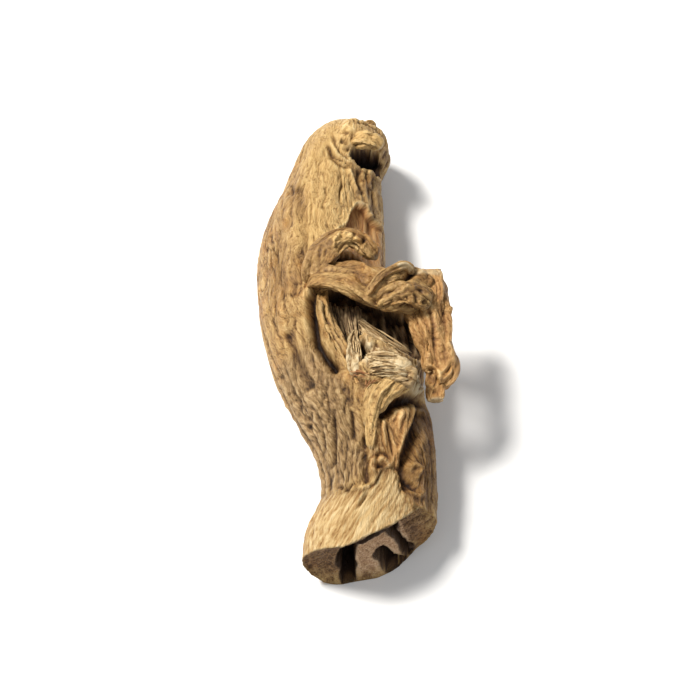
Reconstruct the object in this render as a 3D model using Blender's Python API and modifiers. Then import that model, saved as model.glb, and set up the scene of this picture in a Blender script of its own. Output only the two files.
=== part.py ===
"""A dried piece of ferula root, lying on a table with its torn side up.

The sawn end faces -Y, the crown faces +Y, and +Z is up. Every size below is in
millimetres, and MM turns it into Blender's metres as the meshes are made.
"""

import math

import bmesh
import bpy
import numpy as np
from mathutils import Matrix, Vector, noise

MM = 0.001
BARK_COLOUR = (0.42, 0.27, 0.13, 1.0)
BARK_ROUGHNESS = 0.85

# The finished solid's middle, measured from the point that the sizes below start from
MIDDLE = (1.035, -0.425)

# The main root, from the crown's tip to the sawn end: each station is the place along Y, the
# middle in X, the half width, the underside's height and the top's height.
TRUNK = (
    (49.6, -1.4, 0.0, 9.0, 9.0),
    (49.2, -1.3, 2.8, 6.4, 11.6),
    (48.0, -1.2, 4.9, 4.4, 13.4),
    (46.0, -1.1, 6.8, 3.0, 14.8),
    (43.4, -1.2, 8.6, 1.8, 15.9),
    (40.6, -1.8, 9.5, 1.0, 16.6),
    (37.0, -3.3, 9.5, 0.4, 17.2),
    (32.0, -4.2, 9.9, -0.3, 18.0),
    (25.0, -5.0, 10.8, -0.9, 19.0),
    (17.0, -5.4, 11.6, -0.9, 20.0),
    (9.0, -5.3, 12.5, 0.2, 20.8),
    (0.0, -2.8, 14.5, 0.9, 21.0),
    (-7.0, -0.5, 14.7, 1.0, 20.5),
    (-14.0, 0.7, 13.5, 0.5, 20.0),
    (-22.0, 3.0, 12.3, -0.3, 19.0),
    (-29.0, 4.8, 10.7, -0.9, 17.6),
    (-35.6, 5.3, 10.3, -1.0, 16.2),
    (-38.5, 4.8, 11.0, -1.0, 15.8),
    (-43.0, 4.0, 11.9, -1.0, 15.4),
    (-48.0, 3.6, 12.2, -1.0, 15.0),
)
TRUNK_SIDES = 132
TRUNK_STEPS = 120
SAW_RINGS = 9
SAW_HUB = 0.12

# The saw went through askew and the wood broke back on the right: the place in X, the rim's place
# along Y at SAW_TOP, and how far the face runs back for each mm up. Then how far from the end the
# rings of the loft still lean with it.
SAW = (
    (-9.0, -47.6, 0.12),
    (-4.8, -48.4, 0.15),
    (-1.6, -49.0, 0.1),
    (0.8, -48.4, 0.1),
    (5.2, -46.3, 0.18),
    (8.1, -44.6, 0.2),
    (11.0, -41.9, 0.25),
    (13.0, -39.4, 0.35),
    (16.0, -38.2, 0.4),
)
SAW_TOP = 15.0
SAW_REACH = 20.0

# Folds of the dried bark: the spacing, the height, and how much longer than wide they are
FOLDS = (
    (9.0, 1.2, 5.0),
    (4.2, 0.7, 6.0),
)
LUMPS = (18.0, 1.3)
BARK_RADIUS = 13.0
TOP_CALM = 0.65
WOOD_CALM = 0.85
TIP_REACH = 4.0

# Hollows: the line of the middle, the distance from that line to the rim, the width of the wall
# and the floor's height. The first two were left by a side root that tore off.
HOLLOW = (((-1.5, 2.6), (3.0, -1.8), (8.5, -3.9), (12.0, -4.9)), 4.6, 1.8, 10.5)
CLEFT = (((-2.4, 0.0), (-1.4, -6.0), (0.8, -11.0)), 2.2, 2.2, 12.5)
KNOT_HOLE = (((2.3, 37.2), (5.2, 37.0)), 2.0, 0.9, 9.5)
CURL_POCKET = (((-2.4, 10.2), (1.0, 10.2), (4.0, 9.2)), 1.5, 1.2, 15.5)
BASINS = (HOLLOW, CLEFT, KNOT_HOLE, CURL_POCKET)
LEAST_WALL = 0.3

# Mounds: the line of the crest, the distance from that line to the edge, the width of the slope and
# the height. They are the torn side root's stub, the pleat that runs down from it, and the lump
# over the crown's knot hole.
STUB = (((4.4, -15.2), (7.0, -16.4), (10.0, -17.0)), 3.0, 2.0, 1.5)
STUB_TAIL = (((4.1, -26.0), (3.9, -30.0), (3.9, -34.0)), 0.8, 1.6, 0.8)
KNOT_LUMP = (((0.6, 43.2), (5.0, 42.8)), 2.2, 2.0, 1.2)
MOUNDS = (STUB, STUB_TAIL, KNOT_LUMP)

# Bark peeled away below the crown: the torn edge's line from the left, up to its tip and down to
# the right, and how deep the bared layer lies
PEEL_EDGE = ((-9.0, 4.0), (-5.5, 12.5), (-4.3, 14.7), (-2.2, 16.7), (-0.4, 18.8), (0.2, 21.9),
             (1.1, 23.9), (1.9, 24.9), (3.1, 24.6), (4.0, 23.1), (4.9, 22.4), (6.4, 21.6))
PEEL_DEPTH = 1.2
PEEL_STEP = 0.5
PEEL_FOOT = 2.0

# Bark ends on this line, and the bare wood of the sawn end lies a little deeper
BARK_END = ((-12.0, -34.0), (-6.2, -34.9), (-2.4, -37.3), (0.6, -37.1), (2.4, -37.8),
            (4.5, -36.6), (5.7, -34.0), (8.2, -32.9), (9.8, -36.9), (11.8, -40.3), (16.5, -41.0))
BARK_THICKNESS = 0.5
BARK_STEP = 0.8

# Furrows of the upper side: depth, half width, and the points that each runs through
FURROWS = (
    (3.0, 0.9, ((-6.3, 4.6), (-7.3, 0.0), (-7.1, -4.4), (-6.6, -9.0), (-5.0, -12.0), (-3.2, -14.4))),
    (0.6, 0.9, ((-3.2, -14.4), (-1.6, -18.0), (0.2, -22.0), (0.8, -28.0))),
    (0.8, 1.4, ((-10.4, 28.0), (-9.4, 22.0), (-8.9, 15.0), (-9.3, 8.0), (-10.6, 2.0))),
    (1.2, 1.0, ((-11.8, -6.5), (-10.5, -10.6), (-9.2, -14.2), (-8.0, -17.0))),
    (1.2, 0.8, ((2.7, -29.0), (2.9, -33.0), (3.0, -36.4))),
    (2.8, 1.2, ((13.4, -18.6), (10.6, -19.8), (8.2, -21.2), (6.3, -23.6))),
    (1.8, 1.1, ((13.4, -21.5), (12.7, -25.0), (11.2, -29.3), (10.2, -33.4), (10.8, -37.0))),
    (0.8, 2.2, ((8.6, -25.0), (7.6, -30.0), (6.6, -33.6))),
    (0.6, 0.6, ((2.0, 33.0), (1.8, 30.6), (2.2, 27.6))),
    (0.7, 0.6, ((-4.3, 38.6), (-3.6, 35.4), (-2.2, 33.9), (-0.6, 33.3))),
    (0.6, 0.6, ((-3.3, -23.0), (-3.4, -31.5))),
)

# The folded side root. A station is a place, the half width, the half thickness and the turn in
# degrees; a limb is a run of stations.
BAND = (
    (-9.4, 4.4, 13.6, 2.4, 1.4, 0),
    (-7.4, 5.4, 18.0, 2.9, 1.5, 8),
    (-4.4, 4.9, 21.0, 3.2, 1.6, 14),
    (-1.0, 3.9, 22.2, 3.3, 1.6, 10),
    (2.6, 2.4, 22.6, 3.4, 1.7, -8),
    (6.0, 1.2, 22.5, 3.8, 2.0, -22),
    (9.2, 1.0, 22.0, 4.2, 2.3, -16),
    (12.2, 1.2, 21.0, 4.4, 2.2, -6),
    (15.2, 0.4, 19.6, 3.2, 1.8, 0),
)
STICK = (
    (15.2, 6.9, 18.9, 2.5, 1.6, 0),
    (15.3, 5.8, 19.1, 2.7, 2.1, 0),
    (15.5, 2.8, 19.3, 3.1, 2.4, 0),
    (14.8, -1.6, 18.8, 4.2, 2.4, 0),
    (15.5, -4.9, 18.4, 3.8, 2.4, 4),
    (16.3, -8.0, 17.9, 3.4, 2.4, 6),
    (16.9, -11.0, 17.6, 3.2, 2.3, 6),
    (17.3, -13.8, 17.2, 3.2, 2.1, 4),
    (17.1, -15.4, 17.0, 2.8, 2.0, 0),
    (16.4, -16.8, 16.7, 2.0, 1.8, 0),
    (16.2, -18.6, 16.4, 1.6, 1.6, 0),
    (16.3, -20.2, 16.0, 1.3, 1.4, 0),
)
CURL = (
    (-7.6, 3.8, 18.8, 1.2, 0.8, 0),
    (-6.9, 6.4, 20.6, 2.3, 1.2, 10),
    (-5.3, 9.2, 21.8, 2.9, 1.3, 10),
    (-3.0, 11.7, 22.2, 2.4, 1.4, 0),
    (-0.4, 12.9, 22.3, 1.7, 1.4, 0),
    (2.0, 12.0, 22.2, 1.6, 1.4, 0),
    (4.0, 10.2, 21.6, 1.5, 1.2, 0),
    (5.2, 8.8, 20.8, 1.0, 0.8, 0),
)
KNOB = (
    (5.2, -2.2, 21.4, 1.2, 1.0, 0),
    (7.4, -1.6, 22.8, 1.9, 1.5, 0),
    (10.4, -1.0, 23.3, 2.4, 1.9, 0),
    (13.2, -1.0, 22.6, 2.4, 1.9, 0),
    (15.4, -1.6, 21.2, 1.7, 1.4, 0),
)
PLEAT = (
    (2.8, -1.4, 22.6, 0.7, 0.7, 0),
    (4.4, 0.6, 23.8, 0.8, 1.1, 0),
    (6.0, 2.2, 24.5, 0.8, 1.4, 0),
    (8.3, 3.8, 24.5, 0.8, 1.4, 0),
    (10.6, 5.0, 23.9, 0.9, 1.3, 0),
    (12.2, 4.4, 22.6, 0.8, 1.0, 0),
)
STRAND = (
    (-5.4, 4.4, 16.4, 0.9, 1.4, 0),
    (-5.4, -0.4, 17.8, 1.2, 1.7, 0),
    (-4.2, -5.0, 18.4, 1.4, 1.8, 0),
    (-2.0, -9.6, 18.6, 1.5, 1.8, 0),
    (0.2, -14.0, 18.8, 1.4, 1.7, 0),
    (1.8, -19.0, 18.2, 1.0, 1.4, 0),
)
TORN_FLAP = (
    (1.2, -4.4, 16.2, 0.4, 0.4, 0),
    (0.8, -6.6, 17.4, 0.9, 0.6, 15),
    (0.7, -9.4, 18.8, 1.3, 0.8, 20),
    (0.7, -12.0, 19.8, 1.5, 1.0, 20),
    (0.9, -14.8, 20.2, 1.5, 1.0, 10),
    (1.4, -17.0, 20.0, 1.1, 0.8, 0),
)
STUB_RIM = (
    (2.4, -14.6, 19.8, 0.9, 0.8, 0),
    (4.6, -13.8, 20.4, 1.5, 1.0, 0),
    (6.6, -14.3, 21.0, 1.9, 1.2, 0),
    (8.6, -15.2, 21.3, 2.0, 1.3, 0),
    (10.4, -15.9, 21.0, 1.6, 1.2, 0),
    (11.6, -16.4, 20.4, 1.0, 0.9, 0),
)
STUB_END = (
    (7.6, -15.8, 18.8, 1.8, 1.8, 0),
    (9.4, -16.6, 19.9, 2.2, 2.0, 0),
    (11.0, -17.3, 20.2, 2.1, 2.0, 0),
    (12.3, -17.9, 20.0, 1.6, 1.6, 0),
)
STUB_FOLD_LOW = (
    (10.9, -17.2, 19.9, 1.0, 1.0, 0),
    (10.1, -17.8, 20.0, 1.4, 1.2, 0),
    (8.6, -19.0, 19.7, 1.4, 1.2, 0),
    (7.2, -20.1, 19.2, 1.3, 1.1, 0),
    (6.0, -21.8, 18.5, 1.0, 1.0, 0),
    (5.2, -23.6, 17.8, 0.7, 0.7, 0),
)
STUB_FOLD_MIDDLE = (
    (8.6, -17.0, 20.2, 1.0, 1.0, 0),
    (6.7, -18.7, 20.3, 1.2, 1.1, 0),
    (5.4, -20.0, 19.8, 1.2, 1.1, 0),
    (4.5, -21.9, 19.2, 1.1, 1.0, 0),
    (4.0, -24.6, 18.7, 1.0, 0.9, 0),
    (3.8, -27.6, 18.1, 0.9, 0.9, 0),
    (3.9, -31.0, 17.4, 0.6, 0.7, 0),
)
STUB_FOLD_HIGH = (
    (5.2, -18.0, 20.0, 0.7, 0.7, 0),
    (4.3, -19.2, 20.0, 0.8, 0.8, 0),
    (3.4, -20.8, 19.5, 0.9, 0.8, 0),
    (3.0, -23.0, 19.0, 0.8, 0.8, 0),
    (2.8, -26.4, 18.3, 0.5, 0.6, 0),
)
TONGUE = (
    (0.6, 40.4, 15.4, 1.1, 1.0, 0),
    (2.4, 40.2, 16.9, 1.7, 1.3, 0),
    (4.6, 39.9, 16.9, 1.7, 1.3, 0),
    (6.5, 39.3, 15.4, 1.2, 1.0, 0),
)
CROWN_BUD = (
    (2.6, 45.4, 13.0, 1.0, 0.9, 0),
    (4.2, 46.2, 13.7, 1.2, 1.1, 0),
    (5.4, 46.1, 13.0, 0.8, 0.8, 0),
)
ROOTLET_LEFT = (
    (-12.2, 12.0, 5.0, 2.2, 1.9, 0),
    (-14.4, 12.8, 3.8, 1.8, 1.5, 0),
    (-15.8, 13.2, 3.2, 1.2, 1.0, 0),
)
ROOTLET_RIGHT = (
    (10.4, -29.0, 4.6, 2.0, 2.0, 0),
    (12.8, -30.2, 3.4, 1.6, 1.5, 0),
    (14.4, -31.0, 2.8, 1.1, 1.0, 0),
)
LIMBS = (
    ("band", BAND, 32, 60),
    ("stick", STICK, 32, 60),
    ("curl", CURL, 20, 36),
    ("knob", KNOB, 20, 20),
    ("pleat", PLEAT, 16, 24),
    ("strand", STRAND, 12, 32),
    ("torn_flap", TORN_FLAP, 12, 20),
    ("stub_rim", STUB_RIM, 14, 20),
    ("stub_end", STUB_END, 16, 14),
    ("stub_fold_low", STUB_FOLD_LOW, 14, 20),
    ("stub_fold_middle", STUB_FOLD_MIDDLE, 14, 28),
    ("stub_fold_high", STUB_FOLD_HIGH, 12, 20),
    ("tongue", TONGUE, 14, 12),
    ("crown_bud", CROWN_BUD, 12, 10),
    ("rootlet_left", ROOTLET_LEFT, 14, 10),
    ("rootlet_right", ROOTLET_RIGHT, 14, 10),
)
# The limbs' folds: the spacing, the share of the radius and how much longer than wide they are.
# Then the ridges along them: how many, their share of the radius and their twist in radians a mm.
# Then the power that squares the oval section, and the distance over which an end rounds off.
LIMB_FOLD = 2.6
LIMB_RELIEF = 0.2
LIMB_STRETCH = 3.3
LIMB_RIDGES = (5, 0.1, 0.09)
LIMB_SQUARE = 0.7
LIMB_END = 1.2

# The gap where the wood shrank from the bark at the sawn end, as a bent blade that is cut out:
# places in X and Z with the gap's half width there, and the depth of the cut
SHRINK_GAP = (
    (-0.4, 0.9, 1.4),
    (-0.5, 4.5, 1.4),
    (-0.3, 8.4, 1.35),
    (0.6, 10.8, 1.1),
    (2.6, 12.1, 0.85),
    (4.7, 12.3, 0.75),
    (6.7, 11.4, 0.6),
    (8.4, 8.5, 0.55),
    (9.7, 5.5, 0.45),
    (11.1, 2.3, 0.45),
)
PITH_NOTCH = (
    (8.6, 0.9, 1.5),
    (7.2, 2.4, 1.0),
    (6.2, 4.3, 0.8),
    (5.6, 5.8, 0.9),
)
GAP_DEPTH = 7.0

VOXEL = 0.45
TRIANGLES = 11000
FLOOR_BLOCK = (160.0, 160.0, 20.0)


def clear_scene():
    for thing in list(bpy.data.objects):
        bpy.data.objects.remove(thing, do_unlink=True)


def new_collection(name):
    made = bpy.data.collections.new(name)
    bpy.context.scene.collection.children.link(made)
    return made


def bark_material():
    """Dry bark: pale ochre, matt, no metal."""
    made = bpy.data.materials.new("bark")
    made.use_nodes = True
    shader = made.node_tree.nodes["Principled BSDF"]
    shader.inputs["Base Color"].default_value = BARK_COLOUR
    shader.inputs["Roughness"].default_value = BARK_ROUGHNESS
    shader.inputs["Metallic"].default_value = 0.0
    return made


def resample(stations, steps):
    """The stations' columns read at even steps of a smooth curve through all of them."""
    knots = np.array(stations, float)
    gaps = np.linalg.norm(np.diff(knots[:, :5], axis=0), axis=1)
    place = np.concatenate([[0.0], np.cumsum(gaps)])
    slope = np.gradient(knots, place, axis=0)
    at = np.linspace(0.0, place[-1], steps)
    left = np.clip(np.searchsorted(place, at, side="right") - 1, 0, len(place) - 2)
    width = (place[left + 1] - place[left])[:, None]
    s = (at - place[left])[:, None] / width
    return ((2 * s**3 - 3 * s**2 + 1) * knots[left] + (s**3 - 2 * s**2 + s) * width * slope[left]
            + (3 * s**2 - 2 * s**3) * knots[left + 1] + (s**3 - s**2) * width * slope[left + 1])


def ease(value):
    """0 below 0, 1 above 1, and smooth between."""
    t = np.clip(value, 0.0, 1.0)
    return t * t * (3.0 - 2.0 * t)


def unit(vectors):
    return vectors / np.maximum(np.linalg.norm(vectors, axis=-1, keepdims=True), 1e-9)


def noise_at(points):
    return np.array([noise.noise(Vector(p)) for p in points])


def folds(points, spacing):
    """Rounded folds with sharp furrows between them, from 0 in a furrow to about 1."""
    return np.minimum(np.abs(noise_at(points / spacing)) * 2.6, 1.0) ** 0.7


def distance_to(line, x, y):
    """Each point's distance in plan from a line through places in X and Y."""
    nearest = np.full(len(x), np.inf)
    for (x0, y0), (x1, y1) in zip(line, line[1:]):
        run = np.array([x1 - x0, y1 - y0])
        share = np.clip(((x - x0) * run[0] + (y - y0) * run[1]) / (run @ run), 0.0, 1.0)
        nearest = np.minimum(nearest, np.hypot(x - x0 - share * run[0], y - y0 - share * run[1]))
    return nearest


def sawn_at(x, z):
    """Where the sawn face lies along Y."""
    places, rim, lean = np.array(SAW).T
    return np.interp(x, places, rim) + np.interp(x, places, lean) * (z - SAW_TOP)


def trunk_rings():
    """The smooth main root as rings of points, with each point's angle and its ring's middle height."""
    rows = resample(TRUNK, TRUNK_STEPS)
    angle = np.linspace(0.0, 2.0 * math.pi, TRUNK_SIDES, endpoint=False)
    y, middle, half, low, high = (rows[:, i][:, None] for i in range(5))
    half = np.maximum(half, 0.05)
    tall = np.maximum((high - low) / 2.0, 0.05)
    level = (high + low) / 2.0
    x = middle + half * np.cos(angle)
    z = level + tall * np.sin(angle)
    askew = ease(1.0 - (y - TRUNK[-1][0]) / SAW_REACH)
    y = y + askew * (sawn_at(x, z) - TRUNK[-1][0])
    return np.stack([x, y, z], axis=-1), np.broadcast_to(angle, x.shape), np.broadcast_to(level, x.shape)


def outward_of(rings):
    """The normal of each point of a grid of rings that close on themselves."""
    round_it = np.roll(rings, -1, axis=1) - np.roll(rings, 1, axis=1)
    along_it = np.gradient(rings, axis=0)
    return unit(np.cross(round_it, along_it))


def carve(points, angle, level, outward):
    """The main root's surface with its folds, furrows, mounds, peeled bark, bare wood and hollows."""
    x, y = points[:, 0], points[:, 1]
    up = ease(outward[:, 2] * 1.6 + 0.1)
    tip = ease((TRUNK[0][0] - y) / TIP_REACH)

    bark = np.stack([np.cos(angle) * BARK_RADIUS, y, np.sin(angle) * BARK_RADIUS], axis=-1)
    wood = ease((np.interp(x, *np.array(BARK_END).T) - y) / BARK_STEP)
    height = noise_at(points / LUMPS[0]) * LUMPS[1]
    for number, (spacing, tall, stretch) in enumerate(FOLDS):
        stretched = bark * (1.0, 1.0 / stretch, 1.0) + 31.0 * (number + 1)
        calm = (1.0 - TOP_CALM * up) * (1.0 - WOOD_CALM * wood)
        height += (folds(stretched, spacing) - 0.6) * tall * calm
    height -= wood * BARK_THICKNESS * up

    for depth, half, line in FURROWS:
        height -= up * depth * np.exp(-((distance_to(line, x, y) / half) ** 2))
    for line, reach, slope, tall in MOUNDS:
        height += up * tall * ease((reach - distance_to(line, x, y)) / slope + 0.5)
    peel_top = np.interp(x, *np.array(PEEL_EDGE).T, left=-99.0)
    peeled = ease((peel_top - y) / PEEL_STEP) * ease((y - PEEL_FOOT) / 3.0)
    height -= up * PEEL_DEPTH * peeled
    moved = points + outward * (height * tip)[:, None]

    for line, reach, wall, floor in BASINS:
        inside = ease((reach - distance_to(line, x, y)) / wall + 0.5) * up
        bottom = np.maximum(floor, level + LEAST_WALL)
        moved[:, 2] -= inside * np.maximum(moved[:, 2] - bottom, 0.0)
    return moved


def skin(name, rings, material):
    """One closed mesh over rings of points. A fan closes each end."""
    sides = rings.shape[1]
    mesh = bmesh.new()
    grid = [[mesh.verts.new(Vector(p) * MM) for p in ring] for ring in rings]
    for lower, upper in zip(grid, grid[1:]):
        for i in range(sides):
            j = (i + 1) % sides
            mesh.faces.new((lower[i], lower[j], upper[j], upper[i]))
    for ring, points in ((grid[0], rings[0]), (grid[-1], rings[-1])):
        hub = mesh.verts.new(Vector(points.mean(axis=0)) * MM)
        for i in range(sides):
            mesh.faces.new((ring[i], ring[(i + 1) % sides], hub))
    bmesh.ops.recalc_face_normals(mesh, faces=mesh.faces)
    data = bpy.data.meshes.new(name)
    mesh.to_mesh(data)
    mesh.free()
    data.shade_smooth()
    data.materials.append(material)
    return bpy.data.objects.new(name, data)


def make_trunk(material):
    rings, angle, level = trunk_rings()
    outward = outward_of(rings).reshape(-1, 3)
    carved = carve(rings.reshape(-1, 3), angle.ravel(), level.ravel(), outward).reshape(rings.shape)
    # The sawn face: rings that shrink from the rim to the middle of the end
    rim = carved[-1]
    share = np.linspace(1.0, SAW_HUB, SAW_RINGS)[1:, None, None]
    face = rim.mean(axis=0) + (rim - rim.mean(axis=0)) * share
    return skin("root", np.concatenate([carved, face]), material)


def make_limb(name, stations, sides, steps, material):
    """A squared oval tube through the stations, with folds along it."""
    rows = resample(stations, steps)
    centre = rows[:, :3]
    heading = unit(np.gradient(centre, axis=0))
    level = unit(np.cross(heading, (0.0, 0.0, 1.0)))
    over = np.cross(level, heading)
    turn = np.radians(rows[:, 5])[:, None]
    wide = level * np.cos(turn) + over * np.sin(turn)
    thin = over * np.cos(turn) - level * np.sin(turn)

    angle = np.linspace(0.0, 2.0 * math.pi, sides, endpoint=False)
    cosine, sine = np.cos(angle), np.sin(angle)
    run = np.concatenate([[0.0], np.cumsum(np.linalg.norm(np.diff(centre, axis=0), axis=1))])
    run = run[:, None] + 0.0 * angle
    bark = np.stack([3.0 * cosine + 0.0 * run, run / LIMB_STRETCH, 3.0 * sine + 0.0 * run], axis=-1)
    ripple = folds(bark.reshape(-1, 3) + 17.0 * len(name), LIMB_FOLD).reshape(run.shape)
    ridges, ridge_share, twist = LIMB_RIDGES
    relief = LIMB_RELIEF * (ripple - 0.6) + ridge_share * np.cos(ridges * angle + twist * ridges * run)
    to_end = np.minimum(run, run[-1:] - run)
    swell = np.sqrt(np.clip(to_end / LIMB_END, 0.12, 1.0)) * (1.0 + relief)
    across = swell * rows[:, 3:4] * np.sign(cosine) * np.abs(cosine) ** LIMB_SQUARE
    up = swell * rows[:, 4:5] * np.sign(sine) * np.abs(sine) ** LIMB_SQUARE
    rings = centre[:, None] + wide[:, None] * across[..., None] + thin[:, None] * up[..., None]
    return skin(name, rings, material)


def make_gap(name, stations, material):
    """A bent upright blade that reaches into the sawn end, to be cut out of it."""
    rows = resample([(x, 0.0, z, half, 0.0, 0.0) for x, z, half in stations], 14)
    heading = unit(np.gradient(rows[:, :3], axis=0))
    across = np.cross(heading, (0.0, 1.0, 0.0)) * rows[:, 3:4]
    sawn = sawn_at(rows[:, 0], rows[:, 2])
    near = np.stack([rows[:, 0], sawn - GAP_DEPTH, rows[:, 2]], axis=-1)
    far = near + (0.0, 2.0 * GAP_DEPTH, 0.0)
    rings = np.stack([near + across, near - across, far - across * 0.4, far + across * 0.4], axis=1)
    return skin(name, rings, material)


def make_floor(material):
    """A block with its top at Z = 0, which trims the lowest spots to flat faces that lie on a table."""
    block = bmesh.new()
    bmesh.ops.create_cube(block, size=1.0, matrix=Matrix.Diagonal((*FLOOR_BLOCK, 1.0)) * MM)
    bmesh.ops.translate(block, verts=block.verts, vec=(0.0, 0.0, -FLOOR_BLOCK[2] / 2.0 * MM))
    data = bpy.data.meshes.new("floor_block")
    block.to_mesh(data)
    block.free()
    data.materials.append(material)
    return bpy.data.objects.new("floor_block", data)


def apply_modifiers(target):
    bpy.context.view_layer.update()
    graph = bpy.context.evaluated_depsgraph_get()
    made = bpy.data.meshes.new_from_object(target.evaluated_get(graph))
    target.modifiers.clear()
    target.data = made
    return made


def even_out(target, voxel, wanted):
    """One even skin over the joined limbs, and then fewer triangles where it is plain."""
    remesh = target.modifiers.new("one_skin", "REMESH")
    remesh.mode = "VOXEL"
    remesh.voxel_size = voxel * MM
    skin_mesh = apply_modifiers(target)
    skin_mesh.calc_loop_triangles()
    modifier = target.modifiers.new("thin_out", "DECIMATE")
    modifier.ratio = min(1.0, wanted / len(skin_mesh.loop_triangles))


def fuse(target, limbs):
    """Joins the limbs with the target in one solid, and removes them."""
    pieces = new_collection("limbs")
    for limb in limbs:
        pieces.objects.link(limb)
    modifier = target.modifiers.new("grown_together", "BOOLEAN")
    modifier.operation = "UNION"
    modifier.operand_type = "COLLECTION"
    modifier.collection = pieces
    modifier.solver = "MANIFOLD"
    apply_modifiers(target)
    for limb in limbs:
        bpy.data.objects.remove(limb, do_unlink=True)
    bpy.data.collections.remove(pieces)


def cut(target, cutter, cutters):
    """Leaves the cutter hidden, and its shape cut out of the target."""
    cutters.objects.link(cutter)
    cutter.parent = target.parent
    cutter.hide_render = True
    cutter.display_type = "WIRE"
    modifier = target.modifiers.new(cutter.name, "BOOLEAN")
    modifier.operation = "DIFFERENCE"
    modifier.object = cutter


def main():
    clear_scene()
    root_parts = new_collection("ferula_root")
    cutters = new_collection("cutters")
    material = bark_material()

    root = make_trunk(material)
    root_parts.objects.link(root)
    fuse(root, [make_limb(name, stations, sides, steps, material)
                for name, stations, sides, steps in LIMBS])
    even_out(root, VOXEL, TRIANGLES)

    # Everything hangs on an empty that sets the finished solid's middle over the origin
    place = bpy.data.objects.new("place", None)
    place.location = (-MIDDLE[0] * MM, -MIDDLE[1] * MM, 0.0)
    root_parts.objects.link(place)
    root.parent = place
    cut(root, make_gap("shrink_gap", SHRINK_GAP, material), cutters)
    cut(root, make_gap("pith_notch", PITH_NOTCH, material), cutters)
    cut(root, make_floor(material), cutters)


main()
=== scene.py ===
"""The looks of one dried piece of ferula root that lies on a pale table with its torn side up.

The frame's one solid, "root", is replaced by finer pieces that follow the same named sizes: the main
root, the folded side root and its pleats, the torn stub, and the fibres and splinters in its hollow.
Sizes and places are in millimetres from the same starting point as the solid's own, and
mesh_object() turns them into the frame's metres.
"""

import math

import bpy
import numpy as np
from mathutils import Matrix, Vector, noise


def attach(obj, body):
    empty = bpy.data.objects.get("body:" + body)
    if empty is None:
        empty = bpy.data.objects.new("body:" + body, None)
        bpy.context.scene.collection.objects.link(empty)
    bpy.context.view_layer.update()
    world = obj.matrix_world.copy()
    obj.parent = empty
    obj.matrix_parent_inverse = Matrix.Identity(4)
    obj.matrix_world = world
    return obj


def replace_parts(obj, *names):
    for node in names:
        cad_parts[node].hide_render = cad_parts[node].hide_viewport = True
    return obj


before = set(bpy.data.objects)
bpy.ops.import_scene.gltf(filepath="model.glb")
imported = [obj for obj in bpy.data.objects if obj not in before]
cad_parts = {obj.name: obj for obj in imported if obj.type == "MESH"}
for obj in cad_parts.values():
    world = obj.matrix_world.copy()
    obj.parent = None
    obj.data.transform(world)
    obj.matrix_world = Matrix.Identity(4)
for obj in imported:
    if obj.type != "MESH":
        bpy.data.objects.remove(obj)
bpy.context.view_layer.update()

MM = 0.001
SEED = 7

# The finished solid's middle, measured from the point that the sizes below start from
MIDDLE = (1.035, -0.425)

# The main root, from the crown's tip to the sawn end: each station is the place along Y, the
# middle in X, the half width, the underside's height and the top's height.
TRUNK = (
    (49.6, -1.4, 0, 9, 9), (49.2, -1.3, 2.8, 6.4, 11.6), (48, -1.2, 4.9, 4.4, 13.4),
    (46, -1.1, 6.8, 3, 14.8), (43.4, -1.2, 8.6, 1.8, 15.9), (40.6, -1.8, 9.5, 1, 16.6),
    (37, -3.3, 9.5, 0.4, 17.2), (32, -4.2, 9.9, -0.3, 18), (25, -5, 10.8, -0.9, 19),
    (17, -5.4, 11.6, -0.9, 20), (9, -5.3, 12.5, 0.2, 20.8), (0, -2.8, 14.5, 0.9, 21),
    (-7, -0.5, 14.7, 1, 20.5), (-14, 0.7, 13.5, 0.5, 20), (-22, 3, 12.3, -0.3, 19),
    (-29, 4.8, 10.7, -0.9, 17.6), (-35.6, 5.3, 10.3, -1, 16.2), (-38.5, 4.8, 11, -1, 15.8),
    (-43, 4, 11.9, -1, 15.4), (-48, 3.6, 12.2, -1, 15),
)

# The saw went through askew and the wood broke back on the right: the place in X, the rim's place
# along Y at SAW_TOP, and how far the face runs back for each mm up. Then how far from the end the
# rings of the loft still lean with it.
SAW = (
    (-9, -47.6, 0.12), (-4.8, -48.4, 0.15), (-1.6, -49, 0.1), (0.8, -48.4, 0.1), (5.2, -46.3, 0.18),
    (8.1, -44.6, 0.2), (11, -41.9, 0.25), (13, -39.4, 0.35), (16, -38.2, 0.4),
)
SAW_TOP = 15.0
SAW_REACH = 20.0

# Folds of the dried bark: the spacing, the height, and how much longer than wide they are
FOLDS = ((9, 1.2, 5), (4.2, 0.7, 6))
# A fold's steepness and rounding power, the mean taken off, and the layers' shift in the noise
FOLD_RISE = 2.6
FOLD_POWER = 0.7
FOLD_MEAN = 0.6
FOLD_SHIFT = 31.0
# Low lumps (spacing, height), the radius of the drum that folds are drawn on, how much they fade on
# the upper side and on bare wood, and over what distance all relief ends at the tip
LUMPS = (18, 1.3)
BARK_RADIUS = 13.0
TOP_CALM = 0.65
WOOD_CALM = 0.85
TIP_REACH = 4.0
# How fast a surface counts as the upper side when it turns up, and its count when upright
FACING_UP = (1.6, 0.1)

# Hollows: the line of the middle, the distance from that line to the rim, the width of the wall
# and the floor's height. The first two were left by a side root that tore off.
HOLLOW = (((-1.5, 2.6), (3, -1.8), (8.5, -3.9), (12, -4.9)), 4.6, 1.8, 10.5)
CLEFT = (((-2.4, 0), (-1.4, -6), (0.8, -11)), 2.2, 2.2, 12.5)
KNOT_HOLE = (((2.3, 37.2), (5.2, 37)), 2, 0.9, 9.5)
CURL_POCKET = (((-2.4, 10.2), (1, 10.2), (4, 9.2)), 1.5, 1.2, 15.5)
BASINS = (HOLLOW, CLEFT, KNOT_HOLE, CURL_POCKET)
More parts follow.
